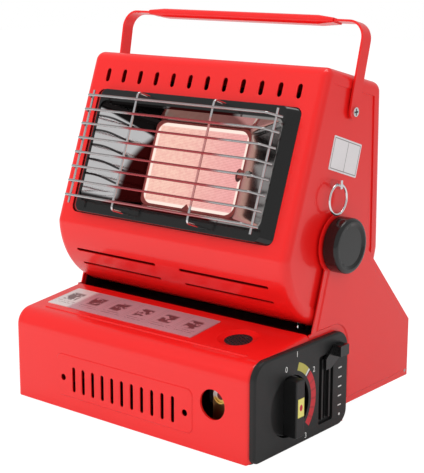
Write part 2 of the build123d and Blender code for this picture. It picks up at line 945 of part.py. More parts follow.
with BuildPart() as valve_stem:
    with BuildSketch(Plane.YZ.offset(valve_right_x - stem_in_valve)):
        with Locations(dial_place):
            Circle(stem_radius)
    extrude(amount=dial_floor_x + stem_in_knob - loose_gap - valve_right_x + stem_in_valve)
valve_stem.part.label = "valve_stem"
export_step(valve_stem.part, "parts/valve_stem.step")

# ---------------------------------------------------------------- lock lever, pusher and its guides
with BuildPart() as lock_lever:
    # Blade through the slot, reaching inwards to the cam plate
    with BuildSketch(Plane.XZ.offset(-lever_y - lever_blade / 2)):
        with Locations((cam_x - cam_pin_radius - sheet, lever_top_z)):
            Rectangle(
                panel_face_x + loose_gap - cam_x + cam_pin_radius + 2 * sheet,
                lever_blade_height,
                align=(Align.MIN, Align.MAX),
            )
    extrude(amount=lever_blade)
    with BuildSketch(Plane.XZ.offset(-lever_y + lever_blade / 2)):
        with Locations((cam_x, lever_top_z - lever_blade_height / 2)):
            Circle(cam_pin_radius)
    extrude(amount=cam_pin_length)
    # Shoe behind the panel
    with BuildSketch(Plane.YZ.offset(slot_back_x - loose_gap)):
        with Locations((lever_y, lever_top_z)):
            Rectangle(3 * lever_slot_width, lever_blade_height, align=(Align.CENTER, Align.MAX))
    extrude(amount=-2 * sheet)
    # Hooked arm and finger tab outside
    with BuildSketch(Plane.YZ.offset(panel_face_x + seat_gap)):
        with BuildLine():
            Polyline(
                (lever_y - lever_slot_width, lever_top_z - lever_blade_height),
                (lever_y - lever_slot_width, lever_top_z),
                (lever_y + lever_tab_y - lever_tab_width / 2, lever_top_z + lever_blade_height),
                (lever_y + lever_tab_y + lever_tab_width / 2, lever_top_z + lever_blade_height),
                (lever_y + lever_tab_y + lever_tab_width / 2, lever_top_z),
                (lever_y + lever_slot_width, lever_top_z - lever_blade_height),
                close=True,
            )
        make_face()
    extrude(amount=2 * sheet)
    with BuildSketch(Plane.YZ.offset(panel_face_x + seat_gap + 2 * sheet)):
        with Locations((lever_y + lever_tab_y, lever_top_z + lever_blade_height / 2)):
            RectangleRounded(lever_tab_width, lever_blade_height, sheet)
    extrude(amount=lever_tab_proud)
lock_lever.part.label = "lock_lever"
export_step(lock_lever.part, "parts/lock_lever.step")

with BuildPart() as cartridge_pusher:
    # Flat bar, cross arm and the tab that bears on the cartridge's end
    with BuildSketch(Plane.XY.offset(pusher_z)):
        with BuildLine():
            Polyline(
                (cam_x + pusher_arm / 2, pusher_y),
                (push_tab_x - pusher_arm, pusher_y),
                (push_tab_x - pusher_arm, bay_y + pusher_arm),
                (push_tab_x, bay_y + pusher_arm),
                (push_tab_x, pusher_y + pusher_arm),
                (cam_x + pusher_arm / 2, pusher_y + pusher_arm),
                close=True,
            )
        make_face()
    extrude(amount=strap_thickness)
    with BuildSketch(Plane.YZ.offset(push_tab_x)):
        with Locations((bay_y, pusher_z)):
            Rectangle(3 * pusher_arm, bay_z - pusher_z + pusher_arm, align=(Align.CENTER, Align.MIN))
    extrude(amount=-strap_thickness)
    # Upright cam plate with its sloping slot
    with BuildSketch(Plane.XZ.offset(-cam_plate_y)):
        with BuildLine():
            Polyline(
                (cam_x - pusher_travel - cam_margin, pusher_z),
                (cam_x - pusher_travel - cam_margin, cam_top_z + cam_margin),
                (cam_x + cam_margin, cam_top_z + cam_margin),
                (cam_x + cam_margin, pusher_z),
                close=True,
            )
        make_face()
        with Locations((cam_x - pusher_travel / 2, cam_top_z - lever_travel / 2)):
            SlotOverall(
                sqrt(lever_travel**2 + pusher_travel**2) + 2 * (cam_pin_radius + seat_gap),
                2 * (cam_pin_radius + seat_gap),
                rotation=degrees(atan2(lever_travel, pusher_travel)),
                mode=Mode.SUBTRACT,
            )
    extrude(amount=strap_thickness)
cartridge_pusher.part.label = "cartridge_pusher"
export_step(cartridge_pusher.part, "parts/cartridge_pusher.step")

with BuildPart() as pusher_guides:
    with BuildSketch(Plane.XY.offset(floor_z)):
        with Locations((0, pusher_y + pusher_arm / 2)):
            with GridLocations(guide_spacing, 0, 2, 1):
                Rectangle(pusher_arm, pusher_arm + 2 * loose_gap + 4 * sheet)
    extrude(amount=pusher_z + strap_thickness + loose_gap + 2 * sheet - floor_z)
    with BuildSketch(Plane.XY.offset(pusher_z - seat_gap)):
        with Locations((0, pusher_y + pusher_arm / 2)):
            Rectangle(base_width, pusher_arm + 2 * loose_gap)
    extrude(amount=strap_thickness + 2 * seat_gap, mode=Mode.SUBTRACT)
pusher_guides.part.label = "pusher_guides"
export_step(pusher_guides.part, "parts/pusher_guides.step")

# ---------------------------------------------------------------- gas parts in the base
with BuildPart() as valve_body:
    with BuildSketch(Plane.XY.offset(valve_low_z)):
        with Locations((valve_left_x, front_y + flange_width + cap_thickness + valve_nose)):
            Rectangle(
                valve_right_x - valve_left_x - stem_boss,
                valve_rear_y - front_y - flange_width - cap_thickness - valve_nose,
                align=(Align.MIN, Align.MIN),
            )
    extrude(amount=valve_high_z - valve_low_z)
    fillet(valve_body.edges().filter_by(Axis.Z), foot_round)
    with BuildSketch(Plane.YZ.offset(valve_right_x - stem_boss)):
        with Locations(dial_place):
            Circle(3 * stem_radius)
    extrude(amount=stem_boss)
    with BuildSketch(Plane.XZ.offset(-front_y - flange_width - cap_thickness - valve_nose)):
        with Locations((cap_x, cap_z)):
            Circle(cap_radius - sheet)
    extrude(amount=valve_nose)
    with BuildSketch(Plane.YZ.offset(valve_right_x)):
        with Locations(dial_place):
            Circle(stem_radius + running_gap)
    extrude(amount=-stem_in_valve - loose_gap, mode=Mode.SUBTRACT)
    with BuildSketch(Plane.XZ.offset(-valve_rear_y)):
        with Locations((pipe_x, pipe_low_z), (supply_x, supply_z)):
            Circle(pipe_radius + running_gap)
    extrude(amount=pipe_socket + running_gap, mode=Mode.SUBTRACT)
valve_body.part.label = "valve_body"
export_step(valve_body.part, "parts/valve_body.step")

with BuildPart() as valve_cap:
    with BuildSketch(Plane.XZ.offset(-front_y - flange_width - cap_thickness)):
        with Locations((cap_x, cap_z)):
            Circle(cap_radius)
    extrude(amount=cap_thickness)
    with BuildSketch(Plane.XZ.offset(-front_y - flange_width)):
        with Locations((cap_x, cap_z)):
            Circle(cap_radius - sheet)
    extrude(amount=-sheet, mode=Mode.SUBTRACT)
valve_cap.part.label = "valve_cap"
export_step(valve_cap.part, "parts/valve_cap.step")

with BuildPart() as valve_bracket:
    with BuildSketch(Plane.XZ.offset(-valve_rear_y + 2 * flange_width)):
        with BuildLine():
            Polyline(
                (valve_left_x, floor_z),
                (valve_left_x + flange_width, floor_z),
                (valve_left_x + flange_width, valve_low_z - strap_thickness),
                (valve_left_x + 2 * flange_width + pipe_radius, valve_low_z - strap_thickness),
                (valve_left_x + 2 * flange_width + pipe_radius, floor_z),
                (valve_left_x + 3 * flange_width + pipe_radius, floor_z),
            )
            offset(amount=strap_thickness, side=Side.LEFT, kind=Kind.INTERSECTION)
        make_face()
    extrude(amount=2 * flange_width)
valve_bracket.part.label = "valve_bracket"
export_step(valve_bracket.part, "parts/valve_bracket.step")

with BuildPart() as regulator_body:
    with BuildSketch(Plane.YZ.offset(regulator_x)):
        with Locations(bay_place):
            Circle(regulator_radius)
    extrude(amount=regulator_length)
    fillet(regulator_body.faces().sort_by(Axis.X)[-1].edges(), foot_round)
    with BuildSketch(Plane.YZ.offset(regulator_x)):
        with Locations(bay_place):
            Circle(regulator_neck_radius)
    extrude(amount=bay_end - regulator_x)
    with BuildSketch(Plane.YZ.offset(bay_end)):
        with Locations(bay_place):
            Circle(regulator_bore)
    extrude(amount=regulator_x - bay_end + 2 * flange_width, mode=Mode.SUBTRACT)
    with BuildSketch(Plane.XZ.offset(-bay_y)):
        with Locations((supply_x, supply_z)):
            Circle(regulator_boss)
    extrude(amount=regulator_radius)
    with BuildSketch(Plane.XZ.offset(regulator_radius - bay_y)):
        with Locations((supply_x, supply_z)):
            Circle(pipe_radius + running_gap)
    extrude(amount=-pipe_socket - running_gap, mode=Mode.SUBTRACT)
    with BuildSketch(Plane.YZ.offset(bay_end)):
        with Locations(bay_place):
            Circle(regulator_bore)
    extrude(amount=regulator_x - bay_end + 2 * flange_width, mode=Mode.SUBTRACT)
regulator_body.part.label = "regulator_body"
export_step(regulator_body.part, "parts/regulator_body.step")

with BuildPart() as regulator_bracket:
    with BuildSketch(Plane.YZ.offset(regulator_x + regulator_length)):
        with Locations((bay_y, rear_floor_z)):
            Rectangle(
                2 * regulator_radius, bay_z - rear_floor_z + flange_width, align=(Align.CENTER, Align.MIN)
            )
    extrude(amount=strap_thickness)
    with BuildSketch(Plane.XY.offset(rear_floor_z)):
        with Locations((regulator_x + regulator_length + strap_thickness, bay_y)):
            Rectangle(2 * flange_width, 2 * regulator_radius, align=(Align.MAX, Align.CENTER))
    extrude(amount=strap_thickness)
regulator_bracket.part.label = "regulator_bracket"
export_step(regulator_bracket.part, "parts/regulator_bracket.step")

with BuildPart() as supply_pipe:
    with BuildSketch(Plane.XZ.offset(-valve_rear_y + pipe_socket)):
        with Locations((supply_x, supply_z)):
            Circle(pipe_radius)
    extrude(amount=valve_rear_y - bay_y + regulator_radius - 2 * pipe_socket)
supply_pipe.part.label = "supply_pipe"
export_step(supply_pipe.part, "parts/supply_pipe.step")

with BuildPart() as burner_pipe:
    with BuildLine() as pipe_route:
        FilletPolyline(
            (pipe_x, valve_rear_y - pipe_socket, pipe_low_z),
            (pipe_x, tilt_y, pipe_low_z),
            (pipe_x, tilt_y, tilt_z),
            (swivel_x + pipe_socket, tilt_y, tilt_z),
            radius=pipe_bend,
        )
    with BuildSketch(Plane(origin=pipe_route.line @ 0, z_dir=pipe_route.line % 0)):
        Circle(pipe_radius)
    sweep()
burner_pipe.part.label = "burner_pipe"
export_step(burner_pipe.part, "parts/burner_pipe.step")

with BuildPart() as piezo_igniter:
    with BuildSketch(Plane.XZ.offset(-valve_rear_y + flange_width)):
        with Locations((valve_left_x - piezo_size / 2, dial_z)):
            RectangleRounded(piezo_size, piezo_size, foot_round)
    extrude(amount=2 * piezo_size)
piezo_igniter.part.label = "piezo_igniter"
export_step(piezo_igniter.part, "parts/piezo_igniter.step")

with BuildPart() as igniter_lead:
    with BuildLine() as lead_route:
        FilletPolyline(
            (valve_left_x - piezo_size / 2, valve_rear_y - flange_width, dial_z),
            (valve_left_x - piezo_size / 2, pusher_y, dial_z),
            (lead_x, pusher_y, dial_z),
            (lead_x, tilt_y, dial_z),
            (lead_x, tilt_y, tilt_z),
            (lead_x + lead_end, tilt_y, tilt_z),
            radius=pipe_radius,
        )
    with BuildSketch(Plane(origin=lead_route.line @ 0, z_dir=lead_route.line % 0)):
        Circle(lead_radius)
    sweep()
igniter_lead.part.label = "igniter_lead"
export_step(igniter_lead.part, "parts/igniter_lead.step")

with BuildPart() as cartridge_cradle:
    with BuildSketch(Plane.XY.offset(rear_floor_z)):
        with Locations((cradle_x, bay_y)):
            Rectangle(cradle_length, flange_width)
    extrude(amount=sheet)
    for rib_x in (cradle_x - cradle_length / 2, cradle_x + cradle_length / 2 - strap_thickness):
        with BuildSketch(Plane.YZ.offset(rib_x)):
            with Locations((bay_y, rear_floor_z)):
                Rectangle(cradle_width, cradle_height, align=(Align.CENTER, Align.MIN))
            with Locations(bay_place):
                Circle(cartridge_radius + seat_gap, mode=Mode.SUBTRACT)
        extrude(amount=strap_thickness)
cartridge_cradle.part.label = "cartridge_cradle"
export_step(cartridge_cradle.part, "parts/cartridge_cradle.step")

# ---------------------------------------------------------------- head shell, side pans and back cover
with BuildPart() as head_shell:
    add(head_block(0))
    add(head_block(sheet), mode=Mode.SUBTRACT)
    with BuildSketch(tilt_plane):
        add(head_section(head_rim))
    extrude(amount=base_width, both=True, mode=Mode.SUBTRACT)
    with BuildSketch(head_back.offset(sheet)):
        with Locations((0, back_cover_centre)):
            Rectangle(2 * (head_half - back_rim), back_opening)
    extrude(amount=-4 * sheet, mode=Mode.SUBTRACT)
    with BuildSketch(head_front.offset(sheet)):
        with Locations((0, window_centre)):
            RectangleRounded(window_width, window_height, window_round)
        with Locations((0, head_vent_line)):
            with GridLocations(head_vent_pitch, 0, head_vent_count, 1):
                SlotOverall(head_vent_length, head_vent_width, rotation=upright)
    extrude(amount=-4 * sheet, mode=Mode.SUBTRACT)
    for louvre_angle in louvre_angles:
        outward = Vector(0, -cos(radians(louvre_angle)), -sin(radians(louvre_angle)))
        slot_origin = Vector(0, tilt_y, tilt_z) + outward * (head_radius + head_belly)
        with BuildSketch(Plane(origin=slot_origin, x_dir=(1, 0, 0), z_dir=outward)):
            with GridLocations(2 * louvre_centre, 0, 2, 1):
                SlotOverall(louvre_length, louvre_width)
        extrude(amount=-head_belly - 3 * sheet, mode=Mode.SUBTRACT)
    # Slot that the gas pipe and the lead stand in while the head tilts round them
    with BuildSketch(Plane.YZ.offset(pipe_x - pipe_radius - 3 * sheet)):
        with BuildLine():
            Polyline(
                (tilt_y, tilt_z),
                (
                    tilt_y - 2 * head_radius * sin(radians(tilt_forward + pipe_margin)),
                    tilt_z - 2 * head_radius * cos(radians(tilt_forward + pipe_margin)),
                ),
                (tilt_y, tilt_z - 2 * head_radius),
                (
                    tilt_y + 2 * head_radius * sin(radians(tilt_back + pipe_margin)),
                    tilt_z - 2 * head_radius * cos(radians(tilt_back + pipe_margin)),
                ),
                close=True,
            )
        make_face()
    extrude(amount=lead_x - pipe_x + 2 * pipe_radius + 4 * sheet, mode=Mode.SUBTRACT)
    with BuildSketch(head_back.offset(sheet)):
        with Locations((0, back_cover_centre)):
            with GridLocations(2 * cover_screw_x, 2 * cover_screw_rise, 2, 2):
                Circle(screw_hole_radius)
    extrude(amount=-4 * sheet, mode=Mode.SUBTRACT)
head_shell.part.label = "head_shell"
export_step(head_shell.part, "parts/head_shell.step")


def side_pan():
    """Flat pan that closes the head's right side, behind the folded rim."""
    with BuildPart() as pan:
        with BuildSketch(tilt_plane.offset(pan_outer_x)):
            add(head_section(head_side_round + seat_gap))
        extrude(amount=-sheet)
        with BuildSketch(tilt_plane.offset(pan_outer_x)):
            Circle(stud_radius + seat_gap)
            with Locations((handle_y - tilt_y, handle_z - tilt_z)):
                Circle(screw_radius)
        extrude(amount=-sheet, mode=Mode.SUBTRACT)
    return pan.part


with BuildPart() as side_pan_right:
    add(side_pan())
side_pan_right.part.label = "side_pan_right"
export_step(side_pan_right.part, "parts/side_pan_right.step")

with BuildPart() as side_pan_left:
    add(mirror(side_pan(), about=Plane.YZ, mode=Mode.PRIVATE))
side_pan_left.part.label = "side_pan_left"
export_step(side_pan_left.part, "parts/side_pan_left.step")

with BuildPart() as back_cover:
    with BuildSketch(head_back.offset(-sheet)):
        with Locations((0, back_cover_centre)):
            RectangleRounded(
                2 * (head_half - back_rim) + back_lap, back_opening + back_lap, foot_round
            )
            with GridLocations(back_vent_length + back_vent_gap, back_vent_pitch, 3, back_vent_rows):
                SlotOverall(back_vent_length, vent_width, mode=Mode.SUBTRACT)
        with Locations((0, back_cover_centre)):
            with GridLocations(2 * cover_screw_x, 2 * cover_screw_rise, 2, 2):
                Circle(screw_hole_radius, mode=Mode.SUBTRACT)
    extrude(amount=-sheet)
back_cover.part.label = "back_cover"
export_step(back_cover.part, "parts/back_cover.step")

with BuildPart() as cover_screws:
    with BuildSketch(head_back):
        with Locations((0, back_cover_centre)):
            with GridLocations(2 * cover_screw_x, 2 * cover_screw_rise, 2, 2):
                Circle(screw_radius)
    extrude(amount=-4 * sheet)
    with BuildSketch(head_back):
        with Locations((0, back_cover_centre)):
            with GridLocations(2 * cover_screw_x, 2 * cover_screw_rise, 2, 2):
                Circle(2 * screw_radius)
    extrude(amount=screw_radius, taper=screw_head_draft)
cover_screws.part.label = "cover_screws"
export_step(cover_screws.part, "parts/cover_screws.step")

# ---------------------------------------------------------------- window bezel, reflector and guard
with BuildPart() as window_bezel:
    with BuildSketch(head_front.offset(-2 * sheet)):
        with Locations((0, window_centre)):
            RectangleRounded(window_width + bezel_lap, window_height + bezel_lap, window_round)
    extrude(amount=sheet)
    with BuildSketch(head_front.offset(-sheet)):
        with Locations((0, window_centre)):
            RectangleRounded(window_width - 2 * seat_gap, window_height - 2 * seat_gap, window_round)
    with BuildSketch(head_front.offset(bezel_rise)):
        with Locations((0, window_centre)):
            RectangleRounded(bezel_face_width, bezel_face_height, window_round)
    loft()
    front_face = window_bezel.faces().sort_by(Axis(head_front.origin, head_front.z_dir))[-1]
    fillet(front_face.edges(), lip_round)
    with BuildSketch(head_front.offset(-2 * sheet)):
        with Locations((0, window_centre)):
            RectangleRounded(
                window_width - 2 * (seat_gap + sheet), window_height - 2 * (seat_gap + sheet), window_round
            )
    with BuildSketch(head_front.offset(bezel_rise - sheet)):
        with Locations((0, window_centre)):
            RectangleRounded(bezel_face_width - 2 * sheet, bezel_face_height - 2 * sheet, window_round)
    loft(mode=Mode.SUBTRACT)
    with BuildSketch(head_front.offset(bezel_rise)):
        with Locations((0, window_centre)):
            RectangleRounded(opening_width, opening_height, window_round)
        for bar_x in (-guard_bar_inner, guard_bar_inner):
            with Locations((bar_x, guard_foot_high), (bar_x, guard_foot_low)):
                Circle(wire_radius)
    extrude(amount=-2 * sheet, mode=Mode.SUBTRACT)
window_bezel.part.label = "window_bezel"
export_step(window_bezel.part, "parts/window_bezel.step")

with BuildPart() as reflector:
    with BuildSketch(head_front.offset(bezel_rise - sheet)):
        with Locations((0, window_centre)):
            RectangleRounded(
                reflector_width + 2 * reflector_sheet, reflector_height + 2 * reflector_sheet, window_round
            )
    with BuildSketch(head_front.offset(-plaque_depth + sheet)):
        with Locations((0, window_centre)):
            RectangleRounded(
                throat_width + 2 * reflector_sheet, throat_height + 2 * reflector_sheet, window_round
            )
    loft()
    with BuildSketch(head_front.offset(bezel_rise - sheet)):
        with Locations((0, window_centre)):
            RectangleRounded(
                bezel_face_width - 2 * (sheet + loose_gap), opening_height + reflector_lap, window_round
            )
    extrude(amount=-reflector_sheet)
    with BuildSketch(head_front.offset(bezel_rise - sheet)):
        with Locations((0, window_centre)):
            RectangleRounded(reflector_width, reflector_height, window_round)
    with BuildSketch(head_front.offset(-plaque_depth + sheet)):
        with Locations((0, window_centre)):
            RectangleRounded(throat_width, throat_height, window_round)
    loft(mode=Mode.SUBTRACT)
    with BuildSketch(head_front.offset(bezel_rise - sheet)):
        with Locations((electrode_x, window_centre)):
            Circle(electrode_radius + loose_gap)
    extrude(amount=-plaque_depth - bezel_rise, mode=Mode.SUBTRACT)
reflector.part.label = "reflector"
export_step(reflector.part, "parts/reflector.step")

with BuildPart() as guard_wires:
    for row in range(guard_wire_count):
        wire_v = window_centre + (row - (guard_wire_count - 1) / 2) * guard_wire_pitch
        with BuildLine() as wire:
            FilletPolyline(
                head_point(-guard_half_width, wire_v, -guard_end_proud),
                head_point(-guard_half_flat, wire_v, -guard_proud),
                head_point(guard_half_flat, wire_v, -guard_proud),
                head_point(guard_half_width, wire_v, -guard_end_proud),
                radius=4 * wire_radius,
            )
        with BuildSketch(Plane(origin=wire.line @ 0, z_dir=wire.line % 0)):
            Circle(wire_radius)
        sweep()
guard_wires.part.label = "guard_wires"
export_step(guard_wires.part, "parts/guard_wires.step")

# The bars lie behind the wires: two bent back into the bezel, two straight along the wires' turned ends
bar_gap = 2 * wire_radius + weld_gap
bar_proud = guard_proud - bar_gap
end_slope = (guard_proud - guard_end_proud) / (guard_half_width - guard_half_flat)
end_bar_proud = guard_proud - end_slope * (guard_bar_outer - guard_half_flat) - bar_gap * hypot(1, end_slope)
bar_low = window_centre - guard_wire_count / 2 * guard_wire_pitch
bar_high = window_centre + guard_wire_count / 2 * guard_wire_pitch
with BuildPart() as guard_bars:
    for bar_x in (-guard_bar_inner, guard_bar_inner):
        with BuildLine() as bar:
            FilletPolyline(
                head_point(bar_x, guard_foot_high, guard_foot_depth - bezel_rise),
                head_point(bar_x, guard_foot_high, -bar_proud),
                head_point(bar_x, guard_foot_low, -bar_proud),
                head_point(bar_x, guard_foot_low, guard_foot_depth - bezel_rise),
                radius=3 * wire_radius,
            )
        with BuildSketch(Plane(origin=bar.line @ 0, z_dir=bar.line % 0)):
            Circle(wire_radius)
        sweep()
    for bar_x in (-guard_bar_outer, guard_bar_outer):
        with BuildLine() as bar:
            Line(head_point(bar_x, bar_low, -end_bar_proud), head_point(bar_x, bar_high, -end_bar_proud))
        with BuildSketch(Plane(origin=bar.line @ 0, z_dir=bar.line % 0)):
            Circle(wire_radius)
        sweep()
guard_bars.part.label = "guard_bars"
export_step(guard_bars.part, "parts/guard_bars.step")

# ---------------------------------------------------------------- burner
with BuildPart() as burner_frame:
    with BuildSketch(head_front.offset(-plaque_depth + sheet)):
        with Locations((0, window_centre)):
            Rectangle(burner_width, burner_height)
            RectangleRounded(plaque_width, plaque_height, plaque_round, mode=Mode.SUBTRACT)
        with Locations((plaque_width / 2, window_centre)):
            Rectangle(2 * frame_tab_width, frame_tab_height)
        with Locations((0, window_centre - plaque_height / 2)):
            RegularPolygon(frame_notch, 4)
    extrude(amount=-sheet)
burner_frame.part.label = "burner_frame"
export_step(burner_frame.part, "parts/burner_frame.step")

with BuildPart() as ceramic_plaque:
    with BuildSketch(head_front.offset(-plaque_depth)):
        with Locations((0, window_centre)):
            RectangleRounded(
                plaque_width + 2 * plaque_lap, plaque_height + 2 * plaque_lap, plaque_round
            )
    extrude(amount=-plaque_thickness)
ceramic_plaque.part.label = "ceramic_plaque"
export_step(ceramic_plaque.part, "parts/ceramic_plaque.step")

with BuildPart() as burner_box:
    with BuildSketch(head_front.offset(-plaque_depth)):
        with Locations((0, window_centre)):
            Rectangle(burner_width, burner_height)
    extrude(amount=-burner_depth)
    with BuildSketch(head_front.offset(-plaque_depth)):
        with Locations((0, window_centre)):
            RectangleRounded(
                plaque_width + 2 * plaque_lap + 2 * seat_gap,
                plaque_height + 2 * plaque_lap + 2 * seat_gap,
                plaque_round,
            )
    extrude(amount=-plaque_thickness - seat_gap, mode=Mode.SUBTRACT)
    with BuildSketch(head_front.offset(-plaque_depth)):
        with Locations((0, window_centre)):
            Rectangle(plaque_width - plaque_lap, plaque_height - plaque_lap)
    extrude(amount=burner_wall - burner_depth, mode=Mode.SUBTRACT)
    with BuildSketch(head_front.offset(-plaque_depth - burner_depth)):
        with Locations((venturi_end_x, jet_rise)):
            Circle(venturi_radius - venturi_wall)
    extrude(amount=2 * burner_wall, both=True, mode=Mode.SUBTRACT)
burner_box.part.label = "burner_box"
export_step(burner_box.part, "parts/burner_box.step")

with BuildPart() as burner_bracket:
    with BuildSketch(head_front.offset(-bracket_depth)):
        with Locations((0, window_centre)):
            Rectangle(2 * pan_inner_x, burner_height + flange_width)
        with Locations((venturi_end_x, jet_rise)):
            Circle(venturi_radius + seat_gap, mode=Mode.SUBTRACT)
        with Locations((electrode_x, window_centre)):
            Circle(electrode_radius, mode=Mode.SUBTRACT)
    extrude(amount=-sheet)
    for flange_x in (-pan_inner_x, pan_inner_x - sheet):
        with BuildSketch(head_front.offset(-bracket_depth)):
            with Locations((flange_x, window_centre)):
                Rectangle(sheet, burner_height + flange_width, align=(Align.MIN, Align.CENTER))
        extrude(amount=-bracket_flange)
    # Ear that carries the gas swivel on the tilt axis
    with BuildSketch(tilt_plane.offset(ear_x)):
        Circle(ear_radius)
        with BuildLine():
            Polyline(
                side_point(-ear_radius, bracket_depth + sheet / 2),
                side_point(ear_radius, bracket_depth + sheet / 2),
                side_point(ear_radius, front_offset),
                side_point(-ear_radius, front_offset),
                close=True,
            )
        make_face()
        Circle(swivel_radius, mode=Mode.SUBTRACT)
    extrude(amount=sheet)
burner_bracket.part.label = "burner_bracket"
export_step(burner_bracket.part, "parts/burner_bracket.step")

swivel_up = Plane(origin=(swivel_x, tilt_y, tilt_z), x_dir=(1, 0, 0), z_dir=head_front.y_dir)
with BuildPart() as gas_swivel:
    with BuildSketch(tilt_plane.offset(swivel_x)):
        Circle(swivel_radius)
    extrude(amount=swivel_length)
    with BuildSketch(swivel_up):
        Rectangle(2 * swivel_radius, 2 * swivel_radius, align=(Align.MIN, Align.CENTER))
    extrude(amount=jet_rise + swivel_radius)
    with BuildSketch(tilt_plane.offset(swivel_x + pipe_socket - running_gap)):
        Circle(pipe_radius + running_gap)
    extrude(amount=2 * swivel_length, mode=Mode.SUBTRACT)
gas_swivel.part.label = "gas_swivel"
export_step(gas_swivel.part, "parts/gas_swivel.step")

jet_plane = Plane(origin=head_point(swivel_x, jet_rise, front_offset), z_dir=(-1, 0, 0))
with BuildPart() as gas_jet:
    with BuildSketch(jet_plane):
        Circle(jet_radius)
    extrude(amount=jet_length)
    chamfer(gas_jet.faces().sort_by(Axis.X)[0].edges(), jet_radius / 2)
gas_jet.part.label = "gas_jet"
export_step(gas_jet.part, "parts/gas_jet.step")

with BuildPart() as venturi_tube:
    with BuildSketch(jet_plane.offset(jet_length / 2)):
        Circle(venturi_radius)
    extrude(amount=swivel_x - jet_length / 2 - venturi_end_x + venturi_radius)
    with BuildSketch(head_front.offset(-plaque_depth - burner_depth)):
        with Locations((venturi_end_x, jet_rise)):
            Circle(venturi_radius)
    extrude(amount=plaque_depth + burner_depth - front_offset)
    with BuildSketch(jet_plane):
        Circle(venturi_radius - venturi_wall)
    extrude(amount=swivel_x - venturi_end_x + venturi_radius - venturi_wall, mode=Mode.SUBTRACT)
    with BuildSketch(head_front.offset(-plaque_depth - burner_depth)):
        with Locations((venturi_end_x, jet_rise)):
            Circle(venturi_radius - venturi_wall)
    extrude(amount=plaque_depth + burner_depth - front_offset, mode=Mode.SUBTRACT)
venturi_tube.part.label = "venturi_tube"
export_step(venturi_tube.part, "parts/venturi_tube.step")

tip = head_point(electrode_x, window_centre, electrode_front + electrode_radius)
electrode_tip = (tip.Y, tip.Z)
with BuildPart() as electrode:
    with BuildSketch(head_front.offset(-electrode_front)):
        with Locations((electrode_x, window_centre)):
            Circle(electrode_radius)
    extrude(amount=-electrode_length)
    with BuildSketch(Plane.YZ.offset(electrode_x)):
        with Locations(electrode_tip):
            Circle(electrode_radius / 3)
    extrude(amount=-electrode_reach)
electrode.part.label = "electrode"
export_step(electrode.part, "parts/electrode.step")

with BuildPart() as electrode_lead:
    with BuildLine() as electrode_route:
        FilletPolyline(
            head_point(lead_x + lead_end + seat_gap, 0, front_offset),
            head_point(lead_x + 2 * lead_end, 0, front_offset),
            head_point(lead_x + 2 * lead_end, window_centre, front_offset),
            head_point(electrode_x, window_centre, front_offset),
            head_point(electrode_x, window_centre, electrode_front + electrode_length),
            radius=pipe_radius,
        )
    with BuildSketch(Plane(origin=electrode_route.line @ 0, z_dir=electrode_route.line % 0)):
        Circle(lead_radius)
    sweep()
electrode_lead.part.label = "electrode_lead"
export_step(electrode_lead.part, "parts/electrode_lead.step")

# ---------------------------------------------------------------- tilt joint: nuts, washers, studs and knobs
with BuildPart() as weld_nuts:
    for nut_x in (pan_inner_x - nut_thickness, -pan_inner_x):
        with BuildSketch(tilt_plane.offset(nut_x)):
            RegularPolygon(nut_flats / 2, 6, major_radius=False)
            Circle(stud_radius + running_gap, mode=Mode.SUBTRACT)
        extrude(amount=nut_thickness)
weld_nuts.part.label = "weld_nuts"
export_step(weld_nuts.part, "parts/weld_nuts.step")

with BuildPart() as tilt_washers:
    for washer_x in (pan_outer_x, -pan_outer_x - washer_thickness):
        with BuildSketch(tilt_plane.offset(washer_x)):
            Circle(washer_radius)
            Circle(stud_radius + seat_gap, mode=Mode.SUBTRACT)
        extrude(amount=washer_thickness)
tilt_washers.part.label = "tilt_washers"
export_step(tilt_washers.part, "parts/tilt_washers.step")


def clamp_knob():
    """Round black knob on the right-hand end of the tilt axis, with its stud hole."""
    with BuildPart() as knob:
        with BuildSketch(tilt_plane.offset(clamp_x)):
            Circle(clamp_radius)
        extrude(amount=clamp_thickness)
        fillet(knob.faces().sort_by(Axis.X)[-1].edges(), clamp_round)
        with BuildSketch(tilt_plane.offset(clamp_x + clamp_thickness)):
            Circle(clamp_radius - clamp_round - sheet)
        extrude(amount=-clamp_dish, taper=clamp_dish_draft, mode=Mode.SUBTRACT)
        with BuildSketch(tilt_plane.offset(clamp_x)):
            Circle(stud_radius)
        extrude(amount=stud_in_knob, mode=Mode.SUBTRACT)
    return knob.part


def clamp_stud():
    """Threaded stud of the right-hand knob, from inside the nut to inside the knob."""
    with BuildPart() as stud:
        with BuildSketch(tilt_plane.offset(pan_inner_x - nut_thickness - sheet)):
            Circle(stud_radius)
        extrude(amount=clamp_x + stud_in_knob - pan_inner_x + nut_thickness + sheet)
    return stud.part


with BuildPart() as clamp_knob_right:
    add(clamp_knob())
clamp_knob_right.part.label = "clamp_knob_right"
export_step(clamp_knob_right.part, "parts/clamp_knob_right.step")

with BuildPart() as clamp_knob_left:
    add(mirror(clamp_knob(), about=Plane.YZ, mode=Mode.PRIVATE))
clamp_knob_left.part.label = "clamp_knob_left"
export_step(clamp_knob_left.part, "parts/clamp_knob_left.step")

with BuildPart() as clamp_stud_right:
    add(clamp_stud())
clamp_stud_right.part.label = "clamp_stud_right"
export_step(clamp_stud_right.part, "parts/clamp_stud_right.step")

with BuildPart() as clamp_stud_left:
    add(mirror(clamp_stud(), about=Plane.YZ, mode=Mode.PRIVATE))
clamp_stud_left.part.label = "clamp_stud_left"
export_step(clamp_stud_left.part, "parts/clamp_stud_left.step")

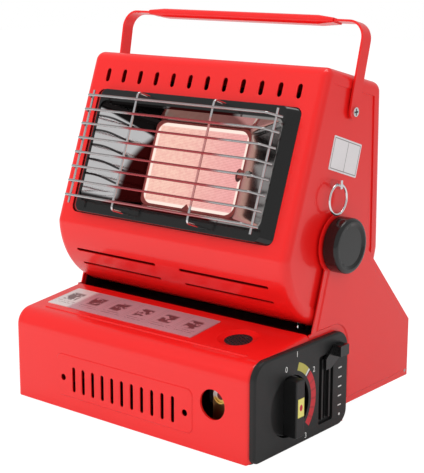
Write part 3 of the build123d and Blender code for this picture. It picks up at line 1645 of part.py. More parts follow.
# ---------------------------------------------------------------- carry handle
with BuildPart() as handle_strip:
    with BuildSketch(handle_plane):
        with BuildLine():
            FilletPolyline(
                (-handle_inner_x, -handle_strip_width / 2),
                (-handle_inner_x, handle_strip_width),
                (-handle_inner_x - handle_splay, handle_length),
                (handle_inner_x + handle_splay, handle_length),
                (handle_inner_x, handle_strip_width),
                (handle_inner_x, -handle_strip_width / 2),
                radius=handle_bend,
            )
            offset(amount=handle_strip_thickness, side=Side.LEFT)
        make_face()
    extrude(amount=handle_strip_width / 2, both=True)
    leg_ends = handle_strip.edges().filter_by(Axis.X).sort_by(Axis.Z)[:4]
    fillet(leg_ends, handle_strip_width / 2 - 2 * running_gap)
    with BuildSketch(Plane.YZ):
        with Locations(handle_place):
            Circle(shoulder_radius + running_gap)
    extrude(amount=base_width, both=True, mode=Mode.SUBTRACT)
handle_strip.part.label = "handle_strip"
export_step(handle_strip.part, "parts/handle_strip.step")

with BuildPart() as handle_grip:
    with BuildSketch(grip_plane):
        RectangleRounded(grip_width, grip_thickness, grip_thickness / 2 - 2 * running_gap)
    extrude(amount=grip_length / 2 - grip_taper, both=True)
    for end in (-1, 1):
        with BuildSketch(grip_plane.offset(end * (grip_length / 2 - grip_taper))):
            RectangleRounded(grip_width, grip_thickness, grip_thickness / 2 - 2 * running_gap)
        with BuildSketch(grip_plane.offset(end * grip_length / 2)):
            RectangleRounded(
                handle_strip_width + 2 * sheet, handle_strip_thickness + 2 * sheet, sheet
            )
        loft()
    with BuildSketch(grip_plane):
        Rectangle(handle_strip_width, handle_strip_thickness)
    extrude(amount=grip_length, both=True, mode=Mode.SUBTRACT)
handle_grip.part.label = "handle_grip"
export_step(handle_grip.part, "parts/handle_grip.step")

with BuildPart() as handle_screws:
    for side in (-1, 1):
        screw_plane = Plane(origin=(side * pan_outer_x, handle_y, handle_z), z_dir=(side, 0, 0))
        with BuildSketch(screw_plane):
            Circle(screw_radius)
        extrude(amount=-nut_thickness)
        with BuildSketch(screw_plane):
            Circle(shoulder_radius)
        extrude(amount=shoulder_length)
        with BuildSketch(screw_plane.offset(shoulder_length)):
            Circle(shoulder_head_radius)
        extrude(amount=screw_radius)
handle_screws.part.label = "handle_screws"
export_step(handle_screws.part, "parts/handle_screws.step")

# ---------------------------------------------------------------- small pieces on the right side
with BuildPart() as side_plate:
    with BuildSketch(Plane.YZ.offset(pan_outer_x)):
        with Locations((side_plate_y, side_plate_z)):
            RectangleRounded(side_plate_width, side_plate_height, sheet, rotation=-side_plate_turn)
    extrude(amount=side_plate_thickness)
side_plate.part.label = "side_plate"
export_step(side_plate.part, "parts/side_plate.step")

with BuildPart() as ring_lug:
    with BuildSketch(Plane.XZ.offset(-ring_y)):
        with Locations((pan_outer_x, ring_top_z)):
            Rectangle(ring_x - pan_outer_x + lug_eye, 2 * lug_eye, align=(Align.MIN, Align.CENTER))
        with Locations((ring_x, ring_top_z)):
            Circle(lug_hole, mode=Mode.SUBTRACT)
    extrude(amount=lug_width / 2, both=True)
ring_lug.part.label = "ring_lug"
export_step(ring_lug.part, "parts/ring_lug.step")

with BuildPart() as split_ring:
    with BuildSketch(Plane(origin=(ring_x, ring_y, ring_top_z), z_dir=(0, -1, 0))):
        Circle(ring_wire)
    revolve(axis=Axis((ring_x, ring_y, ring_z), (1, 0, 0)))
split_ring.part.label = "split_ring"
export_step(split_ring.part, "parts/split_ring.step")
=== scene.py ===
"""Dresses the portable gas heater: paint, plastic, metal, glowing ceramic, prints and dial numbers.

Lengths are in metres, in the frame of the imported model: +X right, +Y back, +Z up, origin on the floor.
"""

import bpy
import numpy as np
from math import cos, pi, radians, sin
from mathutils import Matrix, Vector


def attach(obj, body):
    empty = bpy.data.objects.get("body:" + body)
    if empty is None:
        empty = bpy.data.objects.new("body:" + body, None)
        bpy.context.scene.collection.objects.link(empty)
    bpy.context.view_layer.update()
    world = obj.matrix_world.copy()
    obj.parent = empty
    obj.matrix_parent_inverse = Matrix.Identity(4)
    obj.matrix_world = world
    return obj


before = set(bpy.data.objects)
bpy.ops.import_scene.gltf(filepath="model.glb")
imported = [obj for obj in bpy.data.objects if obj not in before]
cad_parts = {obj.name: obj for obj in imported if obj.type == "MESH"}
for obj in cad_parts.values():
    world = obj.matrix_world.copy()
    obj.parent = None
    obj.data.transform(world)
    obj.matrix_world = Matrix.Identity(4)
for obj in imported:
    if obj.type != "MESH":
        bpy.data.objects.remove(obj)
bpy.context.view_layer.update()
scene = bpy.context.scene

mm = 0.001

# ---------------------------------------------------------------- places shared with the solid model
tilt_y, tilt_z = -0.9 * mm, 156.3 * mm
front_lean = radians(20.3)
window_centre = 39.2 * mm
plaque_half_width, plaque_half_height = 50 * mm, 35.5 * mm
plaque_middle_x, plaque_middle_z = 7 * mm, 222 * mm
reflector_half_width, reflector_half_height = 97 * mm, 39 * mm
panel_face_x = 133.5 * mm
dial_y, dial_z = -69.5 * mm, 40 * mm
recess_radius = 27 * mm
knob_face_x = 143.5 * mm
handle_y, handle_z = 20 * mm, 260 * mm
screw_head_x = 127.5 * mm
cap_x, cap_z = 92.5 * mm, 49 * mm
plate_x, plate_y = -33.5 * mm, -69.1 * mm
plate_length, plate_depth = 164 * mm, 38.8 * mm
side_plate_y, side_plate_z = 12.8 * mm, 224.6 * mm
side_plate_width, side_plate_height = 41 * mm, 27.5 * mm
side_plate_turn = radians(17.5)

# ---------------------------------------------------------------- prints and marks
skin = 0.2 * mm
scale_inner, scale_outer, scale_blur = 28.2 * mm, 35 * mm, 0.3 * mm
yellow_start, yellow_end = 45.5, 72.0
white_start, white_end = 41.5, 46.0
red_start, red_end, red_step = -43.0, 40.0, 13.5
tick_y, tick_reach, tick_half_height = -0.5 * mm, 2.5 * mm, 0.65 * mm
tick_low_z, tick_high_z, tick_spacing = 20 * mm, 58.2 * mm, 8 * mm
far_dot_z, far_dot_radius = 67.4 * mm, 1.8 * mm
near_dot_z, near_dot_radius = 14 * mm, 1.3 * mm
numeral_size, numeral_height = 6.5 * mm, 0.05 * mm
numeral_places = {
    "0": (-76.5 * mm, 69.0 * mm),
    "1": (-62.5 * mm, 78.0 * mm),
    "2": (-39.5 * mm, 60.0 * mm),
    "3": (-49.5 * mm, 7.6 * mm),
}
label_y, label_z = -68.7 * mm, 40.8 * mm
label_half_width, label_half_height = 4.3 * mm, 7.7 * mm
label_border = 0.6 * mm
panel_count = 6
side_plate_margin = 1.6 * mm
pore_spacing = 2.6 * mm
# Spacing and half width of the painted reflections of the guard's wires on the reflector
wire_reflection_spacing, wire_reflection_half_width = 12.9 * mm, 1.2 * mm


# ---------------------------------------------------------------- shader maths
class Wire:
    """A shader value. An expression on it adds the Math nodes that work it out."""

    def __init__(self, paint, socket):
        self.paint = paint
        self.socket = socket

    def math(self, operation, *values):
        node = self.paint.node("ShaderNodeMath", {"operation": operation}, dict(enumerate(values)))
        return Wire(self.paint, node.outputs[0])

    def __add__(self, other):
        return self.math("ADD", self, other)

    def __radd__(self, other):
        return self.math("ADD", other, self)

    def __sub__(self, other):
        return self.math("SUBTRACT", self, other)

    def __rsub__(self, other):
        return self.math("SUBTRACT", other, self)

    def __mul__(self, other):
        return self.math("MULTIPLY", self, other)

    def __rmul__(self, other):
        return self.math("MULTIPLY", other, self)

    def __truediv__(self, other):
        return self.math("DIVIDE", self, other)

    def __abs__(self):
        return self.math("ABSOLUTE", self)

    def sine(self):
        return self.math("SINE", self)

    def least(self, other):
        return self.math("MINIMUM", self, other)

    def most(self, other):
        return self.math("MAXIMUM", self, other)

    def angle_from(self, other):
        """Angle in degrees whose tangent is this value over the other."""
        return self.math("ARCTAN2", self, other) * (180 / pi)

    def reach(self, other):
        """Length of the slanting side over this value and the other."""
        return self.math("SQRT", self * self + other * other)

    def part(self, size):
        """Saw-tooth from 0 to the size."""
        return self.math("FLOORED_MODULO", self, size)

    def soft(self, low, high):
        """0 below low, 1 above high, and a smooth rise between them."""
        node = self.paint.node(
            "ShaderNodeMapRange",
            {"interpolation_type": "SMOOTHSTEP"},
            {"Value": self, "From Min": low, "From Max": high},
        )
        return Wire(self.paint, node.outputs["Result"])

    def between(self, low, high, blur):
        """1 from low to high, falling smoothly to 0 over the blur inside each end."""
        return self.soft(low, low + blur) * (1 - self.soft(high - blur, high))

    def within(self, limit, blur):
        """1 nearer to 0 than the limit, falling smoothly to 0 over the blur inside it."""
        return 1 - abs(self).soft(limit - blur, limit)


class Paint:
    """A material with one Principled shader; what varies over the surface is fed to it."""

    def __init__(self, name, color, roughness, metallic=0.0, **constants):
        self.material = bpy.data.materials.new(name)
        self.material.use_nodes = True
        self.tree = self.material.node_tree
        self.shader = self.tree.nodes["Principled BSDF"]
        self.color = color
        self.set("Base Color", (*color, 1.0))
        self.set("Roughness", roughness)
        self.set("Metallic", metallic)
        for socket, value in constants.items():
            self.set(socket.replace("_", " "), value)

    def put(self, socket, value):
        """Links a shader value to a socket, or writes a plain one on it."""
        if isinstance(value, Wire):
            self.tree.links.new(value.socket, socket)
        else:
            socket.default_value = value

    def node(self, kind, settings=None, values=None):
        """A node of a kind, with its settings made first and then the values of its sockets."""
        node = self.tree.nodes.new(kind)
        for setting, value in (settings or {}).items():
            setattr(node, setting, value)
        for socket, value in (values or {}).items():
            self.put(node.inputs[socket], value)
        return node

    def set(self, socket, value):
        """Feeds one socket of the material's shader."""
        self.put(self.shader.inputs[socket], value)

    def point(self):
        """The surface point in the model's own frame."""
        return Wire(self, self.node("ShaderNodeTexCoord").outputs["Object"])

    def place(self):
        """The surface point in the model's own frame, as three values."""
        split = self.node("ShaderNodeSeparateXYZ", None, {0: self.point()})
        return [Wire(self, split.outputs[axis]) for axis in range(3)]

    def noise(self, scale, detail=3.0, stretch=(1.0, 1.0, 1.0)):
        """Cloudy pattern, 0 to 1, stretched along the axes."""
        mapping = self.node("ShaderNodeMapping", None, {"Vector": self.point(), "Scale": stretch})
        placed = Wire(self, mapping.outputs[0])
        cloud = self.node("ShaderNodeTexNoise", None, {"Vector": placed, "Scale": scale, "Detail": detail})
        return Wire(self, cloud.outputs[0])

    def mix(self, factor, low, high):
        """Colour between two colours."""
        node = self.node("ShaderNodeMix", {"data_type": "RGBA", "clamp_factor": True}, {"Factor": factor})
        for socket, value in ((node.inputs[6], low), (node.inputs[7], high)):
            self.put(socket, value if isinstance(value, Wire) else (*value, 1.0))
        return Wire(self, node.outputs[2])

    def shade(self, factor, darkest, lightest):
        """The paint's own colour, from darker to lighter with the factor."""
        dark = tuple(channel * darkest for channel in self.color)
        light = tuple(min(channel * lightest, 1.0) for channel in self.color)
        return self.mix(factor, dark, light)

    def bump(self, height, depth, strength=1.0):
        """Small relief: the height, 0 to 1, stands for the depth in metres."""
        node = self.node("ShaderNodeBump", None, {"Strength": strength, "Distance": depth, "Height": height})
        self.set("Normal", Wire(self, node.outputs[0]))

    def dress(self, *names):
        """Gives the material to solids of the model."""
        for name in names:
            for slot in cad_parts[name].material_slots:
                slot.material = self.material


def up_the_front(y, z):
    """Height of a point up the leaning front of the head, from the middle of its window."""
    return (y - tilt_y) * sin(front_lean) + (z - tilt_z) * cos(front_lean) - window_centre


# ---------------------------------------------------------------- painted and moulded pieces
red = Paint(
    "red_enamel", (0.88, 0.011, 0.01), 0.3, Specular_IOR_Level=0.35, Coat_Weight=0.35, Coat_Roughness=0.04
)
red.set("Base Color", red.shade(red.noise(7.0, 2.0), 0.94, 1.04))
red.set("Roughness", 0.27 + 0.05 * red.noise(30.0, 3.0))
red.bump(red.noise(40.0, 1.0), 0.3 * mm, 0.25)
red.dress(
    "base_shell", "arm_right", "arm_left", "head_shell", "side_pan_right", "side_pan_left",
    "cartridge_door", "handle_strip", "handle_grip",
)

black_paint = Paint("black_stove_paint", (0.008, 0.008, 0.008), 0.34, Specular_IOR_Level=0.35)
black_paint.set("Roughness", 0.26 + 0.2 * black_paint.noise(80.0, 4.0))
black_paint.bump(black_paint.noise(700.0, 2.0), 0.05 * mm)
black_paint.dress("back_cover", "base_floor", "burner_pipe")

bezel_paint = Paint("glossy_black_enamel", (0.005, 0.005, 0.005), 0.12)
bezel_paint.set("Roughness", 0.08 + 0.1 * bezel_paint.noise(40.0, 3.0))
bezel_paint.dress("window_bezel")

# Heat shield under the head in dark red: partly its own paint, partly painted shade for the dark gap under
# the head
shield_paint = Paint("dark_red_shield", (0.035, 0.006, 0.006), 0.3)
shield_paint.set("Roughness", 0.26 + 0.12 * shield_paint.noise(60.0, 3.0))
shield_paint.dress("heat_shield")

black_plastic = Paint("black_moulded_plastic", (0.011, 0.011, 0.011), 0.42, Specular_IOR_Level=0.35)
black_plastic.set("Roughness", 0.36 + 0.18 * black_plastic.noise(50.0, 4.0))
black_plastic.bump(black_plastic.noise(1600.0, 3.0), 0.06 * mm)
black_plastic.dress("piezo_igniter")

gloss_plastic = Paint("glossy_black_plastic", (0.008, 0.008, 0.008), 0.18)
gloss_plastic.set("Roughness", 0.14 + 0.12 * gloss_plastic.noise(50.0, 4.0))
gloss_plastic.dress("clamp_knob_right", "clamp_knob_left", "lock_lever")

rubber = Paint("black_rubber", (0.02, 0.02, 0.02), 0.75)
rubber.set("Roughness", 0.65 + 0.2 * rubber.noise(80.0, 3.0))
rubber.dress("front_feet", "rear_feet", "igniter_lead", "electrode_lead")

glaze = Paint("white_glaze", (0.3, 0.28, 0.26), 0.3)
glaze.set("Base Color", glaze.shade(glaze.noise(80.0, 3.0), 0.7, 1.03))
glaze.dress("electrode")

# ---------------------------------------------------------------- control panel
# Scale round the dial, painted shade darkening the dial's recess, and ticks and dots beside the lever
panel = Paint("printed_panel", (0.011, 0.011, 0.011), 0.4, Specular_IOR_Level=0.35)
x, y, z = panel.place()
from_dial = (y - dial_y).reach(z - dial_z)
turn = (z - dial_z).angle_from(y - dial_y)
face = x.soft(panel_face_x - 2 * skin, panel_face_x - skin)
band = from_dial.between(scale_inner, scale_outer, scale_blur) * face
yellow_part = band * turn.between(yellow_start, yellow_end, 1.0)
red_part = band * turn.between(red_start, red_end, 1.0)
red_part = red_part * (0.72 + 0.28 * (turn * (2 * pi / red_step)).sine().soft(-0.9, -0.5))
tick_phase = (z - tick_low_z + tick_spacing / 4).part(tick_spacing)
ticks = (tick_phase - tick_spacing / 2).within(tick_half_height, skin)
ticks = ticks * z.between(tick_low_z, tick_high_z, skin) * (y - tick_y).within(tick_reach, 0.3 * mm)
far_dot = (y - tick_y).reach(z - far_dot_z).within(far_dot_radius, 0.3 * mm)
near_dot = (y - tick_y).reach(z - near_dot_z).within(near_dot_radius, 0.3 * mm)
white_part = band * turn.between(white_start, white_end, 1.0)
white_part = (white_part + (ticks + far_dot + near_dot) * face).least(1.0)
coat = panel.mix(panel.noise(40.0, 3.0), (0.009, 0.009, 0.009), (0.014, 0.014, 0.014))
# Painted shade: the recess round the knob, below the panel's face, is coloured darker
coat = panel.mix((1 - face) * from_dial.within(recess_radius, 1 * mm), coat, (0.003, 0.0025, 0.0025))
coat = panel.mix(yellow_part, coat, (0.5, 0.45, 0.09))
coat = panel.mix(red_part, coat, (0.6, 0.02, 0.03))
panel.set("Base Color", panel.mix(white_part, coat, (0.75, 0.74, 0.72)))
panel.set("Roughness", 0.34 + 0.18 * panel.noise(50.0, 4.0))
panel.bump(panel.noise(1600.0, 3.0), 0.06 * mm)
panel.dress("control_panel")

# Dial knob with a bordered yellow label and its red dot
knob = Paint("dial_knob_plastic", (0.009, 0.009, 0.009), 0.36, Specular_IOR_Level=0.35)
x, y, z = knob.place()
across, up = y - label_y, z - label_z
label = x.soft(knob_face_x - 0.3 * mm, knob_face_x - 0.1 * mm)
label = label * across.within(label_half_width, skin) * up.within(label_half_height, skin)
upright_border = label_half_width - label_border
border = abs(across).soft(upright_border - 0.1 * mm, upright_border)
level_border = label_half_height - label_border
border = border.most(abs(up).soft(level_border - 0.1 * mm, level_border))
dot = (across / 1.9).reach(up / 2.6).within(1.1 * mm, 0.15 * mm)
coat = knob.mix(label, (0.009, 0.009, 0.009), knob.mix(border, (0.84, 0.76, 0.2), (0.7, 0.62, 0.12)))
knob.set("Base Color", knob.mix(label * dot, coat, (0.55, 0.01, 0.04)))
knob.set("Roughness", 0.3 + 0.15 * knob.noise(50.0, 4.0))
knob.bump(knob.noise(1500.0, 2.0), 0.05 * mm)
knob.dress("control_knob")


def numeral(figure, across, height, paint):
    """Raised figure on the panel's face.

    Each point of its flat outline, given as right, up and out, goes to +Y, +Z and +X of the figure's place.
    """
    curve = bpy.data.curves.new("numeral", "FONT")
    curve.body = figure
    curve.size = numeral_size
    curve.extrude = numeral_height
    drawn = bpy.data.objects.new("drawn", curve)
    scene.collection.objects.link(drawn)
    bpy.context.view_layer.update()
    mesh = bpy.data.meshes.new_from_object(drawn.evaluated_get(bpy.context.evaluated_depsgraph_get()))
    bpy.data.objects.remove(drawn)
    flat = np.empty(len(mesh.vertices) * 3, dtype=np.float32)
    mesh.vertices.foreach_get("co", flat)
    right, upward, out = flat.reshape(-1, 3).T
    placed = np.stack([panel_face_x + out + skin / 10, across + right, height + upward], axis=1)
    mesh.vertices.foreach_set("co", placed.astype(np.float32).ravel())
    mesh.update()
    mesh.materials.clear()
    mesh.materials.append(paint.material)
    piece = bpy.data.objects.new("dial_numeral_" + figure, mesh)
    scene.collection.objects.link(piece)
    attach(piece, "base")


white_print = Paint("white_print", (0.75, 0.74, 0.72), 0.4)
white_print.set("Roughness", 0.35 + 0.1 * white_print.noise(300.0, 2.0))
for figure, (across, height) in numeral_places.items():
    numeral(figure, across, height, white_print)

# ---------------------------------------------------------------- burner
# Polished sheet with painted reflections: dark at the top and bottom, grey on the right, deep red by the
# plaque as a painted reflection of its glow, and dark wavy streaks on its left wall, where the guard's wires
# are mirrored
mirror = Paint("mirror_steel", (0.86, 0.85, 0.86), 0.09, 1.0)
x, y, z = mirror.place()
rise = up_the_front(y, z)
from_left = x + reflector_half_width
left_part = 1 - x.soft(-30 * mm, -18 * mm)
climb = ((rise + 38 * mm) / (63 * mm)).most(0.0)
# Painted reflection of the plaque's glow: deep red on the sheet beside the plaque
glow_reflection_edge = x + 72 * mm - 22 * mm * climb * climb * climb
glow_reflection = glow_reflection_edge.soft(-2 * mm, 5 * mm) * (1 - x.soft(46 * mm, 56 * mm))
# Painted reflection: dark across the top of the left wall
dark_reflection_top = (rise + 0.36 * from_left).soft(37 * mm, reflector_half_height) * left_part
# Painted reflections of the guard's wires: dark wavy streaks on the left wall
fall = rise + 0.1 * from_left + 1.1 * mm * (x * 160).sine()
wire_reflection = ((fall + 1.9 * mm).part(wire_reflection_spacing) - wire_reflection_spacing / 2).within(wire_reflection_half_width, 0.5 * mm)
wire_reflection = wire_reflection * (1 - x.soft(-70 * mm, -64 * mm)) * rise.within(34 * mm, 4 * mm)
# Painted reflection: the right wall coloured greyer than the left
coat = mirror.mix((x / reflector_half_width).soft(-0.2, 0.6), (0.9, 0.89, 0.9), (0.42, 0.4, 0.39))
# Painted reflection: dark at the top and bottom of the left wall
coat = mirror.mix(abs(rise).soft(36 * mm, reflector_half_height) * left_part, coat, (0.05, 0.045, 0.045))
coat = mirror.mix(wire_reflection * 0.93, coat, (0.03, 0.025, 0.025))
coat = mirror.mix(glow_reflection, coat, (0.05, 0.004, 0.004))
mirror.set("Base Color", mirror.mix(dark_reflection_top, coat, (0.012, 0.01, 0.01)))
mirror.set("Roughness", 0.05 + 0.08 * mirror.noise(30.0, 5.0, (1.0, 0.2, 0.2)))
mirror.bump(mirror.noise(26.0, 1.5), 0.4 * mm, 0.5)
mirror.dress("reflector")

hot_frame = Paint("burner_frame_steel", (0.5, 0.12, 0.11), 0.3, 1.0)
hot_frame.set("Base Color", hot_frame.shade(hot_frame.noise(60.0, 4.0), 0.5, 1.3))
hot_frame.set("Roughness", 0.25 + 0.2 * hot_frame.noise(80.0, 4.0))
hot_frame.dress("burner_frame")

# Glowing plaque: fine slanting lattice of pores, cream rim, pinker to the right, and a dark notch there
glow = Paint("glowing_ceramic", (0.06, 0.02, 0.02), 0.9, Emission_Strength=1.0)
x, y, z = glow.place()
rise = up_the_front(y, z)
wave = 2 * pi / pore_spacing
pores = (((x + rise) * wave).sine() * ((x - rise) * wave).sine()).soft(0.05, 0.6)
past_edge = (abs(x) - plaque_half_width).most(abs(rise) - plaque_half_height)
warm = (x / plaque_half_width).soft(-0.6, 1.0)
notch = ((x - 46.5 * mm) / 3.6).reach((rise + 1 * mm) / 6.0).within(1 * mm, 0.15 * mm)
body = glow.mix(warm, (0.98, 0.64, 0.52), (0.93, 0.45, 0.44))
body = glow.mix(glow.noise(300.0, 3.0).soft(0.35, 0.65) * 0.35, body, (0.8, 0.34, 0.32))
body = glow.mix(pores * (0.42 + 0.3 * warm), body, (0.42, 0.13, 0.13))
body = glow.mix(past_edge.soft(-3.4 * mm, -2.2 * mm), body, (1.0, 0.83, 0.74))
glow.set("Emission Color", glow.mix(notch, body, (0.02, 0.002, 0.002)))
glow.dress("ceramic_plaque")

# Guard bars: bright, and pale pink from painted glow light of the plaque where one passes in front of it
bar = Paint("guard_bar_chrome", (0.7, 0.69, 0.7), 0.16, 1.0)
x, y, z = bar.place()
# Painted light: the plaque's glow coloured onto the bar in front of it
glowing = x.between(10 * mm, 70 * mm, 10 * mm) * (z - plaque_middle_z).within(36 * mm, 4 * mm)
bar.set("Base Color", bar.mix(glowing, bar.shade(bar.noise(60.0, 3.0), 0.9, 1.1), (0.95, 0.42, 0.4)))
bar.set("Roughness", 0.1 + 0.12 * bar.noise(120.0, 4.0))
bar.dress("guard_bars")

# Guard wires: grey, and reddened by painted glow light from the plaque where they pass in front of it
wire = Paint("guard_wire_chrome", (0.5, 0.49, 0.49), 0.2, 1.0)
x, y, z = wire.place()
# Painted light: the plaque's red glow coloured onto the wires in front of it
plaque_glow_light = (x - plaque_middle_x).within(60 * mm, 16 * mm) * (z - plaque_middle_z).within(44 * mm, 6 * mm)
wire.set("Base Color", wire.mix(plaque_glow_light, wire.shade(wire.noise(60.0, 3.0), 0.85, 1.1), (0.5, 0.09, 0.1)))
wire.set("Roughness", 0.15 + 0.12 * wire.noise(120.0, 4.0))
wire.dress("guard_wires")

# ---------------------------------------------------------------- bare metal
chrome = Paint("bright_chrome", (0.78, 0.77, 0.78), 0.12, 1.0)
chrome.set("Roughness", 0.08 + 0.14 * chrome.noise(120.0, 4.0))
chrome.bump(chrome.noise(800.0, 2.0), 0.02 * mm)
chrome.dress("split_ring", "ring_lug")

# Cross-slotted heads of the handle's screws, with painted shade in the slots
screw = Paint("cross_head_screw", (0.82, 0.82, 0.83), 0.18, 1.0)
x, y, z = screw.place()
across, up = abs(y - handle_y), abs(z - handle_z)
cross = across.least(up).within(0.75 * mm, 0.2 * mm) * across.most(up).within(2.8 * mm, 0.2 * mm)
cross = cross * abs(x).soft(screw_head_x - 0.5 * mm, screw_head_x)
# Painted shade: the cross slots are coloured dark
screw.set("Base Color", screw.mix(cross, (0.82, 0.82, 0.83), (0.06, 0.06, 0.06)))
screw.set("Roughness", 0.12 + 0.14 * screw.noise(120.0, 4.0) + 0.3 * cross)
screw.bump(1 - cross, 0.8 * mm)
screw.dress("handle_screws")

steel = Paint("plain_steel", (0.5, 0.5, 0.51), 0.35, 1.0)
steel.set("Roughness", 0.28 + 0.2 * steel.noise(60.0, 5.0, (1.0, 4.0, 1.0)))
steel.set("Base Color", steel.shade(steel.noise(25.0, 4.0), 0.75, 1.1))
steel.dress(
    "floor_screws", "door_pin", "valve_bracket", "regulator_bracket", "cartridge_cradle", "pusher_guides",
    "cartridge_pusher", "cover_screws", "burner_box", "burner_bracket", "venturi_tube", "weld_nuts",
    "tilt_washers", "clamp_stud_right", "clamp_stud_left", "valve_stem", "supply_pipe",
)

mesh_paint = Paint("dark_vent_mesh", (0.05, 0.05, 0.055), 0.5, 0.6)
mesh_paint.set("Roughness", 0.4 + 0.2 * mesh_paint.noise(90.0, 4.0))
mesh_paint.dress("vent_mesh")

brass = Paint("brass", (0.78, 0.53, 0.22), 0.3, 1.0)
brass.set("Base Color", brass.shade(brass.noise(40.0, 4.0), 0.7, 1.05))
brass.dress("valve_body", "regulator_body", "gas_swivel", "gas_jet")

# Gas cap seen through the sight hole: pale upper half, brassy lower half, dark red middle
cap = Paint("gas_cap", (0.8, 0.78, 0.74), 0.3, 0.4)
x, y, z = cap.place()
middle = (x - cap_x).reach(z - cap_z).within(3.6 * mm, 0.4 * mm)
coat = cap.mix((cap_z - z).soft(0.0, 3 * mm), (0.8, 0.78, 0.75), (0.75, 0.5, 0.1))
cap.set("Base Color", cap.mix(middle, coat, (0.12, 0.01, 0.01)))
cap.set("Roughness", 0.25 + 0.15 * cap.noise(200.0, 3.0))
cap.dress("valve_cap")

# ---------------------------------------------------------------- plates
# Plain printed panels on the silvery plate: each has a dark figure, rows of fine strokes and a thin border
plate = Paint("printed_plate", (0.56, 0.34, 0.38), 0.3, 0.2)
x, y, z = plate.place()
along = (x - plate_x) / (plate_length / 2)
deep = (y - plate_y) / (plate_depth / 2)
cell = (along * (panel_count / 2) + panel_count / 2).part(1.0)
figure = (cell - 0.45).within(0.3, 0.1) * (deep - 0.1).within(0.5, 0.2)
figure = figure * plate.noise(160.0, 3.0, (1.0, 1.4, 1.0)).soft(0.4, 0.47)
strokes = (cell - 0.5).within(0.42, 0.06) * (deep + 0.62).within(0.2, 0.04)
strokes = strokes * (deep * 36).sine().soft(0.0, 0.4) * plate.noise(500.0, 2.0).soft(0.4, 0.5)
border = (cell - 0.5).within(0.47, 0.01) * abs(cell - 0.5).soft(0.445, 0.455) * deep.within(0.82, 0.02)
ink = (border * 0.35 + strokes * 0.45 + figure * 0.85).least(1.0)
coat = plate.mix(plate.noise(20.0, 3.0), (0.5, 0.3, 0.34), (0.64, 0.4, 0.44))
coat = plate.mix(1 - along.soft(-0.74, -0.66), coat, (0.82, 0.8, 0.78))
plate.set("Base Color", plate.mix(ink, coat, (0.1, 0.02, 0.025)))
plate.set("Roughness", 0.26 + 0.2 * plate.noise(40.0, 4.0, (0.3, 4.0, 4.0)))
plate.dress("instruction_plate")

# White side plate with a thin printed border, parted in two
tag = Paint("white_side_plate", (0.8, 0.76, 0.77), 0.35)
x, y, z = tag.place()
across, up = y - side_plate_y, z - side_plate_z
level = across * cos(side_plate_turn) - up * sin(side_plate_turn)
upright = up * cos(side_plate_turn) + across * sin(side_plate_turn)
past_line = (abs(level) - side_plate_width / 2).most(abs(upright) - side_plate_height / 2) + side_plate_margin
divider = (level - 1 * mm).within(0.35 * mm, 0.15 * mm) * (1 - past_line.soft(-0.1 * mm, 0.1 * mm))
line = past_line.within(0.4 * mm, 0.15 * mm).most(divider)
tag.set("Base Color", tag.mix(line * 0.8, tag.shade(tag.noise(60.0, 3.0), 0.94, 1.03), (0.08, 0.05, 0.05)))
tag.set("Roughness", 0.3 + 0.12 * tag.noise(60.0, 3.0))
tag.dress("side_plate")

# ---------------------------------------------------------------- floor, light and camera
white = (1.0, 1.0, 1.0, 1.0)
floor_reach = 4.0

floor_paint = Paint("pale_floor", (0.95, 0.95, 0.95), 1.0, Specular_IOR_Level=0.0)
corners = [(side * floor_reach, end * floor_reach, 0.0) for side, end in ((-1, -1), (1, -1), (1, 1), (-1, 1))]
floor_mesh = bpy.data.meshes.new("floor")
floor_mesh.from_pydata(corners, [], [(0, 1, 2, 3)])
floor_mesh.materials.append(floor_paint.material)
floor = bpy.data.objects.new("floor", floor_mesh)
scene.collection.objects.link(floor)

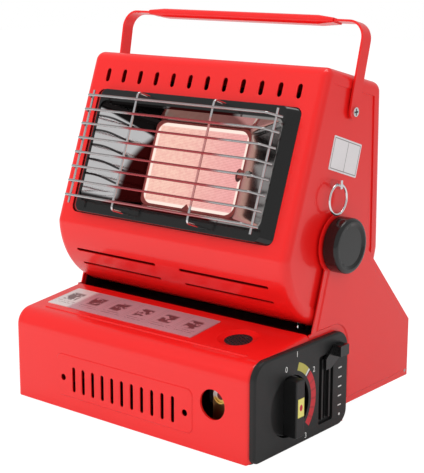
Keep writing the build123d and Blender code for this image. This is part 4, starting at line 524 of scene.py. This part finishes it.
# The camera sees the floor mostly as plain white, with the object's faint shadow on it
seen = Wire(floor_paint, floor_paint.node("ShaderNodeLightPath").outputs["Is Camera Ray"])
lit = floor_paint.node("ShaderNodeEmission", None, {"Color": white, "Strength": 1.15})
blend = floor_paint.node("ShaderNodeMixShader", None, {0: seen * 0.86})
floor_paint.tree.links.new(floor_paint.shader.outputs[0], blend.inputs[1])
floor_paint.tree.links.new(lit.outputs[0], blend.inputs[2])
floor_paint.tree.links.new(blend.outputs[0], floor_paint.tree.nodes["Material Output"].inputs[0])

# Soft white room, which the camera sees at full white
world = bpy.data.worlds.new("studio")
scene.world = world
world.use_nodes = True
room = world.node_tree
sky = room.nodes["Background"]
sky.inputs["Color"].default_value = white
sky.inputs["Strength"].default_value = 0.55
bright = room.nodes.new("ShaderNodeBackground")
bright.inputs["Color"].default_value = white
rays = room.nodes.new("ShaderNodeLightPath")
mixer = room.nodes.new("ShaderNodeMixShader")
room.links.new(rays.outputs["Is Camera Ray"], mixer.inputs[0])
room.links.new(sky.outputs[0], mixer.inputs[1])
room.links.new(bright.outputs[0], mixer.inputs[2])
room.links.new(mixer.outputs[0], room.nodes["World Output"].inputs[0])

lamp_target = Vector((0.0, 0.0, 0.15))


def lamp(name, place, size, power, mirrored):
    """Square soft lamp that faces the heater's middle."""
    light = bpy.data.lights.new(name, "AREA")
    light.size = size
    light.energy = power
    holder = bpy.data.objects.new(name, light)
    scene.collection.objects.link(holder)
    holder.location = place
    holder.visible_glossy = mirrored
    holder.rotation_euler = (lamp_target - Vector(place)).to_track_quat("-Z", "Y").to_euler()


lamp("key_lamp", (-0.9, -1.5, 1.5), 1.0, 20, False)
lamp("side_lamp", (1.7, -0.7, 0.9), 1.0, 5, False)
lamp("top_lamp", (0.1, 0.3, 1.9), 0.8, 8, True)

camera_turn = radians(39.3)
camera_rise = radians(12.7)
camera_roll = radians(0.1)
level_part = cos(camera_rise)
backward = Vector((sin(camera_turn) * level_part, -cos(camera_turn) * level_part, sin(camera_rise)))
aim = (-backward).to_track_quat("-Z", "Y").to_matrix() @ Matrix.Rotation(camera_roll, 3, "Z")
camera_data = bpy.data.cameras.new("camera")
camera_data.lens = 97.3
camera_data.clip_start = 0.05
camera_data.clip_end = 20.0
camera = bpy.data.objects.new("camera", camera_data)
camera.location = (0.6808, -0.8341, 0.3864)
camera.rotation_euler = aim.to_euler()
scene.collection.objects.link(camera)
scene.camera = camera

scene.view_settings.view_transform = "Standard"
